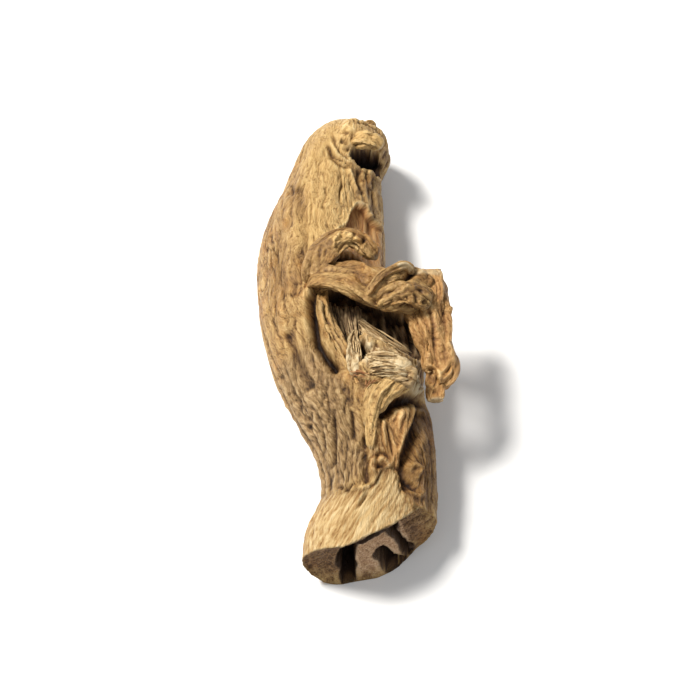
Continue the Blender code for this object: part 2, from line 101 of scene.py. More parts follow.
# How far above the ring's middle a floor stays, its grain (spacing, stretch, height, shift in the
# noise), and how ragged rims are
LEAST_WALL = 0.3
FLOOR_GRAIN = (1.4, 0.45, 1.3, 3)
EDGE_RAG = 0.6

# Mounds: the line of the crest, the distance from that line to the edge, the width of the slope and
# the height. They are the torn side root's stub, the pleat that runs down from it, and the lump
# over the crown's knot hole.
STUB = (((4.4, -15.2), (7, -16.4), (10, -17)), 3, 2, 1.5)
STUB_TAIL = (((4.1, -26), (3.9, -30), (3.9, -34)), 0.8, 1.6, 0.8)
KNOT_LUMP = (((0.6, 43.2), (5, 42.8)), 2.2, 2, 1.2)
MOUNDS = (STUB, STUB_TAIL, KNOT_LUMP)

# Bark peeled away below the crown: the torn edge's line, the bared layer's depth, where its foot
# fades and over what distance, how ragged the edge is, and a place that stands for no edge
PEEL_EDGE = ((-9, 4), (-5.5, 12.5), (-4.3, 14.7), (-2.2, 16.7), (-0.4, 18.8), (0.2, 21.9),
             (1.1, 23.9), (1.9, 24.9), (3.1, 24.6), (4, 23.1), (4.9, 22.4), (6.4, 21.6))
PEEL_DEPTH = 1.2
PEEL_FOOT = 2.0
PEEL_FADE = 3.0
PEEL_RAG = 0.3
NO_EDGE = -99.0

# Bark ends on this line, and the bare wood of the sawn end lies a little deeper
BARK_END = ((-12, -34), (-6.2, -34.9), (-2.4, -37.3), (0.6, -37.1), (2.4, -37.8),
            (4.5, -36.6), (5.7, -34), (8.2, -32.9), (9.8, -36.9), (11.8, -40.3), (16.5, -41))
BARK_THICKNESS = 0.5

# Furrows of the upper side: depth, half width, and the points that each runs through
FURROWS = (
    (3, 0.9, ((-6.3, 4.6), (-7.3, 0), (-7.1, -4.4), (-6.6, -9), (-5, -12), (-3.2, -14.4))),
    (0.6, 0.9, ((-3.2, -14.4), (-1.6, -18), (0.2, -22), (0.8, -28))),
    (0.8, 1.4, ((-10.4, 28), (-9.4, 22), (-8.9, 15), (-9.3, 8), (-10.6, 2))),
    (1.2, 1, ((-11.8, -6.5), (-10.5, -10.6), (-9.2, -14.2), (-8, -17))),
    (1.2, 0.8, ((2.7, -29), (2.9, -33), (3, -36.4))),
    (2.8, 1.2, ((13.4, -18.6), (10.6, -19.8), (8.2, -21.2), (6.3, -23.6))),
    (1.8, 1.1, ((13.4, -21.5), (12.7, -25), (11.2, -29.3), (10.2, -33.4), (10.8, -37))),
    (0.8, 2.2, ((8.6, -25), (7.6, -30), (6.6, -33.6))), (0.6, 0.6, ((2, 33), (1.8, 30.6), (2.2, 27.6))),
    (0.7, 0.6, ((-4.3, 38.6), (-3.6, 35.4), (-2.2, 33.9), (-0.6, 33.3))),
    (0.6, 0.6, ((-3.3, -23), (-3.4, -31.5))),
)
# The half widths that furrows and fine lines take to full depth, how far from its middle a line is
# felt, and how far it wavers
FURROW_TAPER = 0.5
LINE_TAPER = 3.0
LINE_SPAN = (16, 22)
LINE_WAVER = 0.3

# The folded side root. A station is a place, the half width, the half thickness and, where there is
# one, the turn in degrees; a limb is a run of stations.
BAND = (
    (-9.4, 4.4, 13.6, 2.4, 1.4), (-7.4, 5.4, 18, 2.9, 1.5, 8), (-4.4, 4.9, 21, 3.2, 1.6, 14),
    (-1, 3.9, 22.2, 3.3, 1.6, 10), (2.6, 2.4, 22.6, 3.4, 1.7, -8), (6, 1.2, 22.5, 3.8, 2, -22),
    (9.2, 1, 22, 4.2, 2.3, -16), (12.2, 1.2, 21, 4.4, 2.2, -6), (15.2, 0.4, 19.6, 3.2, 1.8),
)
STICK = (
    (15.2, 6.9, 18.9, 2.5, 1.6), (15.3, 5.8, 19.1, 2.7, 2.1), (15.5, 2.8, 19.3, 3.1, 2.4),
    (14.8, -1.6, 18.8, 4.2, 2.4), (15.5, -4.9, 18.4, 3.8, 2.4, 4), (16.3, -8, 17.9, 3.4, 2.4, 6),
    (16.9, -11, 17.6, 3.2, 2.3, 6), (17.3, -13.8, 17.2, 3.2, 2.1, 4), (17.1, -15.4, 17, 2.8, 2),
    (16.4, -16.8, 16.7, 2, 1.8), (16.2, -18.6, 16.4, 1.6, 1.6), (16.3, -20.2, 16, 1.3, 1.4),
)
CURL = (
    (-7.6, 3.8, 18.8, 1.2, 0.8), (-6.9, 6.4, 20.6, 2.3, 1.2, 10), (-5.3, 9.2, 21.8, 2.9, 1.3, 10),
    (-3, 11.7, 22.2, 2.4, 1.4), (-0.4, 12.9, 22.3, 1.7, 1.4), (2, 12, 22.2, 1.6, 1.4),
    (4, 10.2, 21.6, 1.5, 1.2), (5.2, 8.8, 20.8, 1, 0.8),
)
KNOB = (
    (5.2, -2.2, 21.4, 1.2, 1), (7.4, -1.6, 22.8, 1.9, 1.5), (10.4, -1, 23.3, 2.4, 1.9),
    (13.2, -1, 22.6, 2.4, 1.9), (15.4, -1.6, 21.2, 1.7, 1.4),
)
PLEAT = (
    (2.8, -1.4, 22.6, 0.7, 0.7), (4.4, 0.6, 23.8, 0.8, 1.1), (6, 2.2, 24.5, 0.8, 1.4),
    (8.3, 3.8, 24.5, 0.8, 1.4), (10.6, 5, 23.9, 0.9, 1.3), (12.2, 4.4, 22.6, 0.8, 1),
)
STRAND = (
    (-5.4, 4.4, 16.4, 0.9, 1.4), (-5.4, -0.4, 17.8, 1.2, 1.7), (-4.2, -5, 18.4, 1.4, 1.8),
    (-2, -9.6, 18.6, 1.5, 1.8), (0.2, -14, 18.8, 1.4, 1.7), (1.8, -19, 18.2, 1, 1.4),
)
TORN_FLAP = (
    (1.2, -4.4, 16.2, 0.4, 0.4), (0.8, -6.6, 17.4, 0.9, 0.6, 15), (0.7, -9.4, 18.8, 1.3, 0.8, 20),
    (0.7, -12, 19.8, 1.5, 1, 20), (0.9, -14.8, 20.2, 1.5, 1, 10), (1.4, -17, 20, 1.1, 0.8),
)
STUB_RIM = (
    (2.4, -14.6, 19.8, 0.9, 0.8), (4.6, -13.8, 20.4, 1.5, 1), (6.6, -14.3, 21, 1.9, 1.2),
    (8.6, -15.2, 21.3, 2, 1.3), (10.4, -15.9, 21, 1.6, 1.2), (11.6, -16.4, 20.4, 1, 0.9),
)
STUB_END = (
    (7.6, -15.8, 18.8, 1.8, 1.8), (9.4, -16.6, 19.9, 2.2, 2), (11, -17.3, 20.2, 2.1, 2),
    (12.3, -17.9, 20, 1.6, 1.6),
)
STUB_FOLD_LOW = (
    (10.9, -17.2, 19.9, 1, 1), (10.1, -17.8, 20, 1.4, 1.2), (8.6, -19, 19.7, 1.4, 1.2),
    (7.2, -20.1, 19.2, 1.3, 1.1), (6, -21.8, 18.5, 1, 1), (5.2, -23.6, 17.8, 0.7, 0.7),
)
STUB_FOLD_MIDDLE = (
    (8.6, -17, 20.2, 1, 1), (6.7, -18.7, 20.3, 1.2, 1.1), (5.4, -20, 19.8, 1.2, 1.1),
    (4.5, -21.9, 19.2, 1.1, 1), (4, -24.6, 18.7, 1, 0.9), (3.8, -27.6, 18.1, 0.9, 0.9),
    (3.9, -31, 17.4, 0.6, 0.7),
)
STUB_FOLD_HIGH = (
    (5.2, -18, 20, 0.7, 0.7), (4.3, -19.2, 20, 0.8, 0.8), (3.4, -20.8, 19.5, 0.9, 0.8),
    (3, -23, 19, 0.8, 0.8), (2.8, -26.4, 18.3, 0.5, 0.6),
)
TONGUE = (
    (0.6, 40.4, 15.4, 1.1, 1), (2.4, 40.2, 16.9, 1.7, 1.3), (4.6, 39.9, 16.9, 1.7, 1.3),
    (6.5, 39.3, 15.4, 1.2, 1),
)
CROWN_BUD = (
    (2.6, 45.4, 13, 1, 0.9), (4.2, 46.2, 13.7, 1.2, 1.1), (5.4, 46.1, 13, 0.8, 0.8),
)
ROOTLET_LEFT = (
    (-12.2, 12, 5, 2.2, 1.9), (-14.4, 12.8, 3.8, 1.8, 1.5), (-15.8, 13.2, 3.2, 1.2, 1),
)
ROOTLET_RIGHT = (
    (10.4, -29, 4.6, 2, 2), (12.8, -30.2, 3.4, 1.6, 1.5), (14.4, -31, 2.8, 1.1, 1),
)
# Each limb with its points per mm, the reach of its rounded ends and its share of the fine folds
LIMBS = (
    ("side_root_band", BAND, 11, 1.2, 0.6), ("side_root_stick", STICK, 11, 0.4, 0.4),
    ("side_root_curl", CURL, 12, 1.2, 0.6), ("side_root_knob", KNOB, 12, 1.2, 1),
    ("side_root_pleat", PLEAT, 12, 1.2, 0.5), ("torn_strand", STRAND, 12, 1.2, 0.6),
    ("torn_flap", TORN_FLAP, 13, 0.8, 0.7), ("stub_rim", STUB_RIM, 12, 1.2, 0.7),
    ("stub_end", STUB_END, 12, 0.6, 1), ("stub_fold_low", STUB_FOLD_LOW, 12, 1.2, 0.8),
    ("stub_fold_middle", STUB_FOLD_MIDDLE, 12, 1.2, 0.8),
    ("stub_fold_high", STUB_FOLD_HIGH, 12, 1.2, 0.8), ("crown_tongue", TONGUE, 12, 1, 0.8),
    ("crown_bud", CROWN_BUD, 12, 0.6, 0.8), ("rootlet_left", ROOTLET_LEFT, 11, 0.6, 0.8),
    ("rootlet_right", ROOTLET_RIGHT, 11, 0.6, 0.8),
)
# The share of a zone's colour that whole limbs have
LIMB_ZONES = {
    "torn_flap": ("torn", 0.95), "side_root_stick": ("warm", 0.65), "stub_rim": ("torn", 1),
    "stub_end": ("torn", 0.35), "crown_tongue": ("pale", 1), "stub_fold_low": ("pale", 0.8),
    "stub_fold_middle": ("pale", 0.8), "stub_fold_high": ("pale", 0.5),
}
# Broken or worn edges that show pale on the limbs: zone, share, line and reach
LIMB_SPOTS = {
    "side_root_stick": ("torn", 0.8, (((15.2, 5.8), (18.2, 5.4)), 0.9)),
    "side_root_band": ("torn", 0.7, (((13, 4.7), (14.8, 5.2)), 0.8)),
    "side_root_pleat": ("torn", 0.8, (((9.6, 4.4), (11, 4.8), (12.2, 4)), 0.7)),
    "side_root_curl": ("pale", 1, (((-2.9, 12), (-1.8, 12.9), (0.2, 11.8)), 1.3)),
}
# The limbs' folds: spacing, share of the radius, length against width. The ridges along them: how
# many, share of the radius, twist in radians a mm. Then the power that squares the oval section.
LIMB_FOLD = 2.6
LIMB_RELIEF = 0.2
LIMB_STRETCH = 3.3
LIMB_RIDGES = (5, 0.1, 0.09)
LIMB_SQUARE = 0.7
# The drum that these folds are drawn on, the least size of an end, the noise's shift for each letter
# of a name, and how much sparser points are along than around
LIMB_DRUM = 3.0
LEAST_END = 0.12
LIMB_SHIFT = 17.0
LIMB_ALONG = 0.7
# The half thickness with full fine folds, and an end's shares of relief and of torn tone
LIMB_THICK = 1.8
END_RELIEF = 0.3
END_TORN = 0.8

# The gap where the wood shrank from the bark at the sawn end, as a bent blade that is cut out:
# places in X and Z with the gap's half width there, and the depth of the cut
SHRINK_GAP = (
    (-0.4, 0.9, 1.4), (-0.5, 4.5, 1.4), (-0.3, 8.4, 1.35), (0.6, 10.8, 1.1), (2.6, 12.1, 0.85),
    (4.7, 12.3, 0.75), (6.7, 11.4, 0.6), (8.4, 8.5, 0.55), (9.7, 5.5, 0.45), (11.1, 2.3, 0.45),
)
PITH_NOTCH = (
    (8.6, 0.9, 1.5), (7.2, 2.4, 1), (6.2, 4.3, 0.8), (5.6, 5.8, 0.9),
)
GAP_DEPTH = 7.0
# The gaps, with how far their painted shade shows past their edges
GAPS = ((SHRINK_GAP, 1.5), (PITH_NOTCH, 1.3))

# Grids: points round a ring, rings along the root and its sawn face, how much closer points are on
# the upper side, and a ring's least half size.
# Then the face's last ring and where its relief and dark set in, a gap's steps and a stem's sides.
BODY_SIDES = 344
BODY_STEPS = 236
FACE_RINGS = 52
TOP_CROWDING = 0.5
LEAST_HALF = 0.05
FACE_CENTRE = 0.02
FACE_FADE = 0.05
FACE_CUT = (0.1, 3)
GAP_STEPS = 120
STEM_SIDES = 6
# A direction that no stem runs along, and the shift from stem to stem and the length of its grain
STEM_LEVEL = (0.13, 0.27, 1)
STEM_GRAIN = (3.1, 6)

# Places far apart in the noise, for the parts of an offset
NOISE_PLACES = ((23.7, 8.3, 61.9), (5.9, 77.1, 31.3), (58.3, 36.7, 14.5))

# Finer folds than the solid's: spacing, height, length against width, then their mean and shift in
# the noise, and over what distance and how far they wander
FINE_FOLDS = ((2.4, 0.22, 4), (1.1, 0.15, 4), (0.5, 0.08, 3.5))
FINE_MEAN = 0.55
FINE_SHIFT = 57.0
WANDER = ((7, 2.4), (2.4, 0.7))
# What bare wood and peeled bark lose of them, what the smooth part keeps, and its line and reach
WOOD_PLAIN = 0.75
PEEL_PLAIN = 0.6
SMOOTH_PART = (0.42, ((-6, 42), (-8, 20), (-11, 2), (-11, -8)), 8.5)
# The net of small wrinkles over a thick stretch: spacing, height, line and reach, and its wander
NET = (1.6, 0.22, ((-7, -16), (-4, -24), (-1, -31)), 7.5)
NET_WANDER = 0.5
# Over this distance the fine folds and the grain draw together at the crown's tip
CROWN_REACH = 9.0
# Thin cracks: spacing, width, depth, length against width and shift in the noise. Then the patches
# that have them: spacing, contrast, share and shift.
CRACKS = (3, 0.05, 0.45, 4, 9)
CRACK_PATCHES = (4.6, 3, 0.3, 5)
# Ragged edges (spacing, reach), the width of the step at one, the lip above the peeled part (height,
# width), and torn fibre (spacing, mean, height)
RAGGED = (1.2, 0.8)
EDGE_STEP = 0.35
LIP = (0.3, 0.7)
TORN_ROUGH = (1.1, 0.25, 2)
# How much of the wander bare wood is spared, and its streaks: spacing, height, length against width,
# turn in degrees
WOOD_STEADY = 0.75
WOOD_STREAKS = (0.6, 0.2, 8, -32)

# Single lines pressed into the upper side: depth (negative for a ridge), half width and points.
# First those of the knot, then of the upper part and of the lower.
BODY_LINES = (
    (0.6, 0.35, ((-4.2, 38.3), (-3.3, 35.8), (-2, 35.1), (-0.2, 34.3))),
    (0.6, 0.32, ((-3.3, 41.1), (-3.1, 39), (-2.2, 36.7), (-0.2, 35.3))),
    (-0.4, 0.35, ((-3.8, 39.2), (-3.1, 37.3), (-1.8, 35.8), (-0.2, 34.8))),
    (-0.35, 0.35, ((-2.6, 37.4), (-2.6, 39.3), (-1.6, 41), (-0.5, 40.3), (-0.1, 39.2))),
    (0.7, 0.4, ((-2.2, 40.1), (-1.2, 39.3))), (0.8, 0.5, ((-1.2, 37.6), (0.4, 38.4))),
    (0.7, 0.4, ((0.8, 43.4), (3.2, 43.4), (6, 42.4))), (0.5, 0.4, ((2.3, 36), (2.5, 33.9))),
    (-0.6, 0.5, ((3, 34.4), (4.3, 34.6), (6, 36.4))),
    (-0.6, 0.45, ((-0.4, 33), (0.9, 29.9), (2.1, 27.4))),
    (0.4, 0.35, ((3.1, 34.2), (3.6, 31.4), (3.8, 27.2))),
    (-0.45, 0.45, ((5.2, 35), (5.6, 31.5), (5.7, 27), (5.6, 23))),
    (0.3, 0.4, ((-12.2, 31), (-11.6, 25), (-11.8, 18))),
    (0.35, 0.3, ((-5.4, 28), (-4.8, 25), (-5.4, 21.6))), (0.3, 0.3, ((-2.2, 33), (-1.4, 29), (-2, 25))),
    (0.6, 0.3, ((-3.6, -24.6), (-3.3, -27.7), (-3.1, -31.8))), (0.5, 0.25, ((0.6, -23.8), (0.5, -28.2))),
    (0.4, 0.35, ((2.5, -24.6), (3.1, -29.6))), (0.4, 0.3, ((-7.4, -21), (-5.4, -25.4), (-5.2, -29))),
    (0.9, 0.28, ((-2.6, -36.2), (-2, -36.7), (-0.8, -37.3), (0.6, -36.6))),
    (-0.9, 0.4, ((12.4, -19.6), (12, -21), (11.8, -23.2), (11.1, -25.5), (10.1, -28.1),
                 (9, -30.9))),
    (-0.5, 0.5, ((7, -22.6), (6.2, -26.4), (6.8, -30))), (-0.4, 0.4, ((9.6, -22.4), (9.4, -26.4))),
    (0.5, 0.35, ((4.2, -31.8), (5.7, -31), (7.4, -31.8))),
    (-0.5, 0.4, ((4.6, -32.6), (6, -32), (7.2, -32.6))), (0.5, 0.35, ((4.6, -33.7), (6.7, -33.4))),
    (-0.9, 0.5, ((11.1, -32.8), (11.9, -32.1), (13, -32.8), (12.5, -34.4))),
    (0.9, 0.5, ((8.8, -33), (9.6, -34))), (0.9, 0.5, ((10.2, -31), (10.6, -32))),
    (0.9, 0.4, ((11.2, -35.6), (12.2, -36.8))), (-0.6, 0.35, ((11, -37.4), (12.8, -38), (13.8, -36.8))),
    (0.6, 0.3, ((3.2, -39.2), (1.6, -41.2))), (-0.4, 0.4, ((2.6, -38.4), (0.8, -40.8))),
)
# Short flecks: how many, the middle and half sizes of the part that has them, the shortest, the
# longest, the greatest depth and half width; the shares of these two; and how they slant
FLECKS = (260, (-3, 5), (13, 42), 1.4, 4.6, 0.42, 0.32)
FLECK_DEPTHS = (0.3, 1)
FLECK_WIDTHS = (0.6, 1)
FLECK_SLANT = 0.14
# Single lines of the limbs
LIMB_LINES = {
    "side_root_band": (
        (1.3, 0.6, ((5.2, -2.2), (6.3, -1.3), (7.7, -0.3), (9.4, 0.8), (11, 2.6), (12.6, 4.9))),
        (0.25, 0.4, ((-5.4, 5.4), (-2, 4.2), (1.4, 3.6))),
        (-0.3, 0.6, ((-6.6, 3.4), (-3, 1.2), (0.6, -0.6), (4, -2.4))),
        (0.35, 0.5, ((-1, 5.8), (1, 4.8), (3.4, 4.6))), (0.3, 0.5, ((1.6, 1.8), (3.4, 0.6), (4.6, 0.9))),
        (0.3, 0.4, ((-2.8, 2.6), (-1, 2.2))),
    ),
    "side_root_curl": (
        (0.7, 0.45, ((-2.2, 8.7), (-0.9, 10.6), (0.9, 10.7), (2.6, 9.6))),
        (-0.6, 0.4, ((-3.2, 9.4), (-3, 11.2), (-1.9, 12.5), (-0.4, 12.7), (1.1, 11.6), (2.6, 10.4))),
        (0.6, 0.35, ((-1.6, 11.6), (-1.4, 13.6))), (0.5, 0.35, ((0.6, 11.2), (1.2, 13.2))),
        (0.6, 0.35, ((2.2, 10.2), (3, 11.8))), (0.3, 0.4, ((-5.4, 10.4), (-6, 7.8), (-5.8, 5.6))),
        (0.25, 0.3, ((-4.4, 10), (-4.8, 8))),
    ),
    "side_root_knob": (
        (1, 0.5, ((8.6, -3.3), (9.6, -2.9), (10.4, -3.2))), (1, 0.4, ((10.6, -2.6), (11.4, -2.1))),
        (0.9, 0.4, ((12, -1.3), (12.8, -1.9), (12.9, -3.3))), (0.9, 0.4, ((13.9, -2.9), (14.8, -2.3))),
        (-0.5, 0.5, ((5.6, -2.7), (7.1, -2.3), (8.8, -1.8), (10.4, -0.5), (12, -0.2))),
        (0.6, 0.4, ((9.4, -1.4), (10.2, -0.3))), (0.6, 0.4, ((12.9, -0.3), (14.2, -0.7))),
    ),
    "side_root_stick": (
        (0.4, 0.35, ((14.8, 3.4), (15.1, -2), (15.7, -5.2), (16.2, -9.6), (16.2, -13.6))),
        (0.25, 0.35, ((17.3, 3.4), (17.8, -1.7), (18.1, -6.1), (18.1, -11.4))),
        (-0.35, 0.5, ((13.2, -4.2), (14.6, -8), (15, -13))),
        (0.25, 0.35, ((12.2, -2.8), (13.2, -6), (13.9, -10.2))),
        (0.9, 0.5, ((13.4, 6.2), (13.4, 3), (13.9, 0.4))), (0.9, 0.3, ((14.6, -9), (14.9, -11.4))),
        (1.7, 0.8, ((15.6, -15.4), (15.9, -16.6), (16, -18.2))),
        (-0.6, 0.4, ((14.4, -14), (15.8, -14.3), (17, -15.6), (17.2, -17.6))),
        (-0.4, 0.35, ((14.5, -14.6), (14.7, -17.4))), (0.9, 0.45, ((19.4, -13.6), (18.2, -15.8))),
    ),
    "stub_end": (
        (1.2, 0.7, ((10.5, -17.4), (11.2, -17.6))), (0.5, 0.35, ((9, -15.2), (9.4, -17))),
    ),
    "side_root_pleat": (
        (0.3, 0.3, ((4.6, 1.8), (7.6, 4), (10, 5.6))),
    ),
    "torn_strand": (
        (0.35, 0.35, ((-5.6, 1), (-4.4, -5), (-2.2, -9.8), (0, -14))),
    ),
    "torn_flap": (
        (0.4, 0.3, ((0.9, -5), (0.6, -9), (0.9, -14))),
    ),
}

# Finer folds of the limbs, and over what distance and how far they wander
LIMB_FINE_FOLDS = ((3.2, 0.55, 1.6), (1.5, 0.34, 2.4), (0.7, 0.15, 2.4))
LIMB_WANDER = ((4.5, 1.5), (1.8, 0.5))

# Zones that the bark's colour follows: a line and the reach from it, then how soft their edge is
TORN_ZONE = (((1.6, -10.4), (4.6, -12.8), (10.6, -13.4), (12.4, -16)), 2.7)
WARM_ZONE = (((8.2, -22.6), (8, -28), (6.6, -33)), 3.4)
GREY_ZONE = (((-9, -14), (-5, -22), (-2, -32)), 6)
PALE_ZONE = (((-3, 45), (-5.4, 36), (-3.4, 24), (-6, 17)), 6.4)
# Painted shade on the root's right side
RIGHT_SIDE_SHADE_ZONE = (((14.2, -22), (12.8, -29), (13, -37)), 3.6)
ZONE_SOFTNESS = 1.3

# The sawn face: the gaps' edge and wander, the core's place, size, edge and dome, how deep the wood
# round it lies, and the rough grain
GAP_EDGE = 0.5
GAP_WANDER = (2.2, 0.9)
CORE_MIDDLE = (5.4, 5)
CORE_REACH = (5.6, 7.4)
CORE_EDGE = 0.16
CORE_DOME = 0.3
LOBE_SINK = 0.2
FACE_GRAIN = ((1.8, 0.45), (0.6, 0.22))

# Millimetres from the darkest to the palest relief in a small window and a wide one, and those
# windows, as rings and points to each side. The small one gives painted shade in grooves and painted
# highlight on ridges, the wide one painted shade in creases.
RELIEF_SPAN = 0.42
CAVITY_SPAN = 2.4
BODY_WINDOWS = ((2, 4), (8, 16))
LIMB_WINDOWS = ((2, 3), (6, 10))
# The depth at which a hollow's painted shade is darkest, and how dark each one gets. For lines, the
# depth where painted shade starts and its span, and for furrows the same after their share.
DEEP_AT = 1.6
BASIN_GLOOM = (0, 0.3, 1, 0.8)
LINE_GLOOM = (0.4, 1.2)
FURROW_GLOOM = (0.6, 1, 2)

# Fibres: how many, the least and greatest radius, how far they bow up, the two places that they
# start between, and the two that they end between
FIBRES = (
    (110, 0.05, 0.11, -0.5, (2, -1, 14.6), (3, -8.5, 16.6), (11.6, -12, 20.7), (4.6, -13.6, 21.2)),
    (170, 0.05, 0.13, 0.7, (3.4, -12.6, 21), (4.2, -17.2, 20.8), (11.6, -14.6, 21.6), (10.8, -17.4, 21.6)),
    (60, 0.06, 0.15, 0.4, (0.6, -6.2, 17.6), (1, -9, 19.2), (0.2, -14, 20.6), (2.4, -15.4, 20.8)),
)
STRANDS = (
    (90, 0.14, 0.36, -0.3, (-4.4, 2, 14.2), (1.6, 1.4, 13.8), (-1.4, -10, 16.4), (2.4, -10.2, 16.4)),
)
# Thin torn threads of reddish inner bark
THREADS = (
    (9, 0.06, 0.14, 0.2, (0.4, -17.4, 20.8), (1.4, -16.4, 21), (4.4, -18.6, 21), (3.6, -17.2, 21.2)),
    (5, 0.07, 0.14, 0.1, (2.9, -19.6, 20.4), (3.6, -18.9, 20.6), (5, -18.6, 21.1), (4.6, -17.7, 21.2)),
)
# Their scatter, spread of bow, lengths as shares of the way, points, taper and least radius
FIBRE_SCATTER = 0.3
FIBRE_BOW = 0.35
FIBRE_LENGTHS = (0.6, 1.05)
FIBRE_POINTS = 14
FIBRE_TAPER = 0.8
FIBRE_LEAST = 0.03
# Splinters: how many, how deep they root, their lengths, radii, taper, bend and points, how they
# lean across, along (mean and spread) and up (least and most), and the torn edges' line
SPLINTER_COUNT = 46
SPLINTER_ROOT = 0.4
SPLINTER_LENGTHS = (0.8, 2)
SPLINTER_RADII = (0.08, 0.22)
SPLINTER_TAPER = 0.9
SPLINTER_BEND = 0.2
SPLINTER_POINTS = 7
SPLINTER_LEAN = ((0, 0.5), (0.6, 0.5), (0.2, 0.9))
SPLINTER_LINE = ((0.2, -6.6, 17.4), (-0.2, -11.6, 19.8), (1.2, -16.8, 20.6), (5, -14, 21.4),
                 (9.6, -14.4, 22), (12.4, -16.2, 21.4))

# The zones that each field of the mesh carries
ZONE_FIELDS = {
    "zones_a": ("wood", "torn", "inner"),
    "zones_b": ("hollow", "warm", "grey"),
    "zones_c": ("cut", "core", "gap"),
    # The last two are painted shade: on the right side, and in hollows, lines and furrows
    "zones_d": ("pale", "right_side_shade", "recess_shade"),
}

# Colours as the photograph shows them, in 0 to 255, from the darkest tone of each zone to the palest
TONES = {
    "bark": ((0.14, 58, 39, 20), (0.32, 118, 85, 48), (0.5, 178, 141, 88), (0.66, 206, 169, 110),
             (0.86, 238, 204, 145)),
    "pale": ((0.12, 92, 65, 34), (0.3, 164, 127, 73), (0.48, 212, 172, 109), (0.66, 232, 196, 132),
             (0.86, 248, 220, 162)),
    "grey": ((0.14, 50, 36, 21), (0.34, 108, 84, 54), (0.54, 158, 127, 86), (0.8, 204, 173, 127)),
    "warm": ((0.14, 90, 56, 28), (0.36, 156, 110, 61), (0.56, 204, 155, 95), (0.8, 240, 202, 142)),
    "inner": ((0.2, 176, 116, 62), (0.5, 226, 164, 96), (0.8, 246, 196, 130)),
    "torn": ((0.2, 112, 74, 42), (0.36, 166, 130, 86), (0.52, 208, 180, 134), (0.75, 248, 230, 190)),
    "wood": ((0.16, 128, 88, 46), (0.36, 186, 146, 90), (0.54, 214, 180, 124), (0.8, 240, 212, 160)),
    "hollow": ((0.16, 66, 48, 31), (0.46, 134, 106, 74), (0.8, 198, 168, 126)),
    "lobe": ((0.2, 70, 46, 26), (0.5, 122, 88, 54), (0.8, 172, 134, 90)),
    "core": ((0.2, 140, 104, 74), (0.5, 204, 162, 122), (0.8, 236, 200, 160)),
    # The gaps are painted shade, dark in them and a little past their edges
    "gap": ((0.2, 52, 34, 21), (0.8, 80, 57, 37)),
    "fibre": ((0.36, 112, 86, 54), (0.5, 180, 148, 102), (0.62, 238, 212, 164)),
    "strand": ((0.36, 80, 60, 40), (0.5, 136, 110, 78), (0.62, 196, 168, 126)),
    "thread": ((0.3, 110, 68, 38), (0.5, 164, 112, 70), (0.7, 206, 156, 108)),
}
# Zones that patches break up, their strength, where they set in and are full; then the others
SOFT_ZONES = (("grey", 0.75), ("pale", 0.85), ("warm", 0.85))
SOFT_SPAN = (0.78, 1.38)
PATCH_SHARE = 1.2
SHARP_ZONES = ("inner", "torn", "wood", "hollow")
# Noises along the bark: scale, squash, detail, roughness, shift and turn, then what reads as 0 and 1
GRAINS = {
    "streak": (1.0, 0.16, 6.0, 0.62),
    "fine": (3.4, 0.3, 4.0, 0.6, 7.0),
    "speck": (1.5, 0.7, 5.0, 0.7, 13.0),
    "patch": (0.16, 0.55, 5.0, 0.62, 21.0),
    "other_patch": (0.24, 0.7, 5.0, 0.62, 33.0),
    "slanted": (1.3, 0.13, 6.0, 0.66, 3.0, -WOOD_STREAKS[3]),
}
GRAIN_SPANS = {"streak": (0.32, 0.68), "fine": (0.32, 0.68), "slanted": (0.3, 0.7)}
# The values that choose a zone's tone, with their weights. Zones that aren't here go by the bark's.
# Relief adds painted shade in grooves and painted highlight on ridges; the noises give each zone's own
# tone
MIXES = {
    "bark": (("relief", 0.48), ("streak", 0.27), ("fine", 0.25)),
    "inner": (("relief", 0.3), ("streak", 0.7)),
    "torn": (("relief", 0.6), ("speck", 0.4)),
    "wood": (("relief", 0.3), ("slanted", 0.7)),
    "lobe": (("relief", 0.4), ("fine", 0.6)),
    "core": (("relief", 0.4), ("fine", 0.6)),
    "bump": (("streak", 0.4), ("fine", 0.5), ("speck", 0.6)),
}
# Tints that multiply the colour: the value where one sets in, where it is full, its strength, tint.
# patch, other_patch and speck are the bark's own stains; the others are painted shade
STAINS_AND_SHADES = {
    "patch": (0.46, 0.64, 0.85, (196, 180, 158)),
    "other_patch": (0.50, 0.68, 0.7, (250, 224, 186)),
    "right_side_shade": (0.0, 1.0, 0.9, (196, 180, 158)),
    "speck": (0.57, 0.66, 0.8, (160, 132, 100)),
    "recess_shade": (0.0, 1.0, 0.95, (92, 62, 46)),
    "cavity": (0.52, 0.2, 0.85, (140, 116, 92)),
}
# The bump's strength and depth in metres, the tones read as rough and as smooth, the grain of
# fibre, how rough each material is, and the share of light that their sheen throws back
BUMP = (0.8, 0.0005)
ROUGH_SPAN = (1.3, -0.5)
FIBRE_GRAIN = (0.9, 0.4, 3.0)
ROUGHNESS = {"dry_bark": 0.82, "pale_floor": 0.9}
FIBRE_ROUGHNESS = 0.75
SPECULAR = 0.25

# The stage, in metres: a lamp has a place, a size, watts and a colour. The root's colours are
# divided by LIGHT, for what the lamps add.
FLOOR_SIZE = 4.0
FLOOR_COLOUR = (0.86, 0.86, 0.86, 1.0)
SKY_COLOUR = (1.0, 1.0, 1.0, 1.0)
SKY_STRENGTH = 0.36
LIGHT = 1.38
LIGHTS = (
    ("key", (-0.40, 0.20, 0.60), 0.22, 10.5, (1.0, 0.97, 0.92)),
    ("fill", (0.30, -0.55, 0.40), 0.50, 1.2, (0.94, 0.97, 1.0)),
)
CAMERA_ELEVATION = 60.0
CAMERA_LENS = 100.0
CAMERA_SENSOR = 36.0
CAMERA_DISTANCE = 0.38
CAMERA_CLIP = 0.01
# The place that the camera looks at, in millimetres like the sizes above
CAMERA_TARGET = (0.0, -5.3, 10.0)


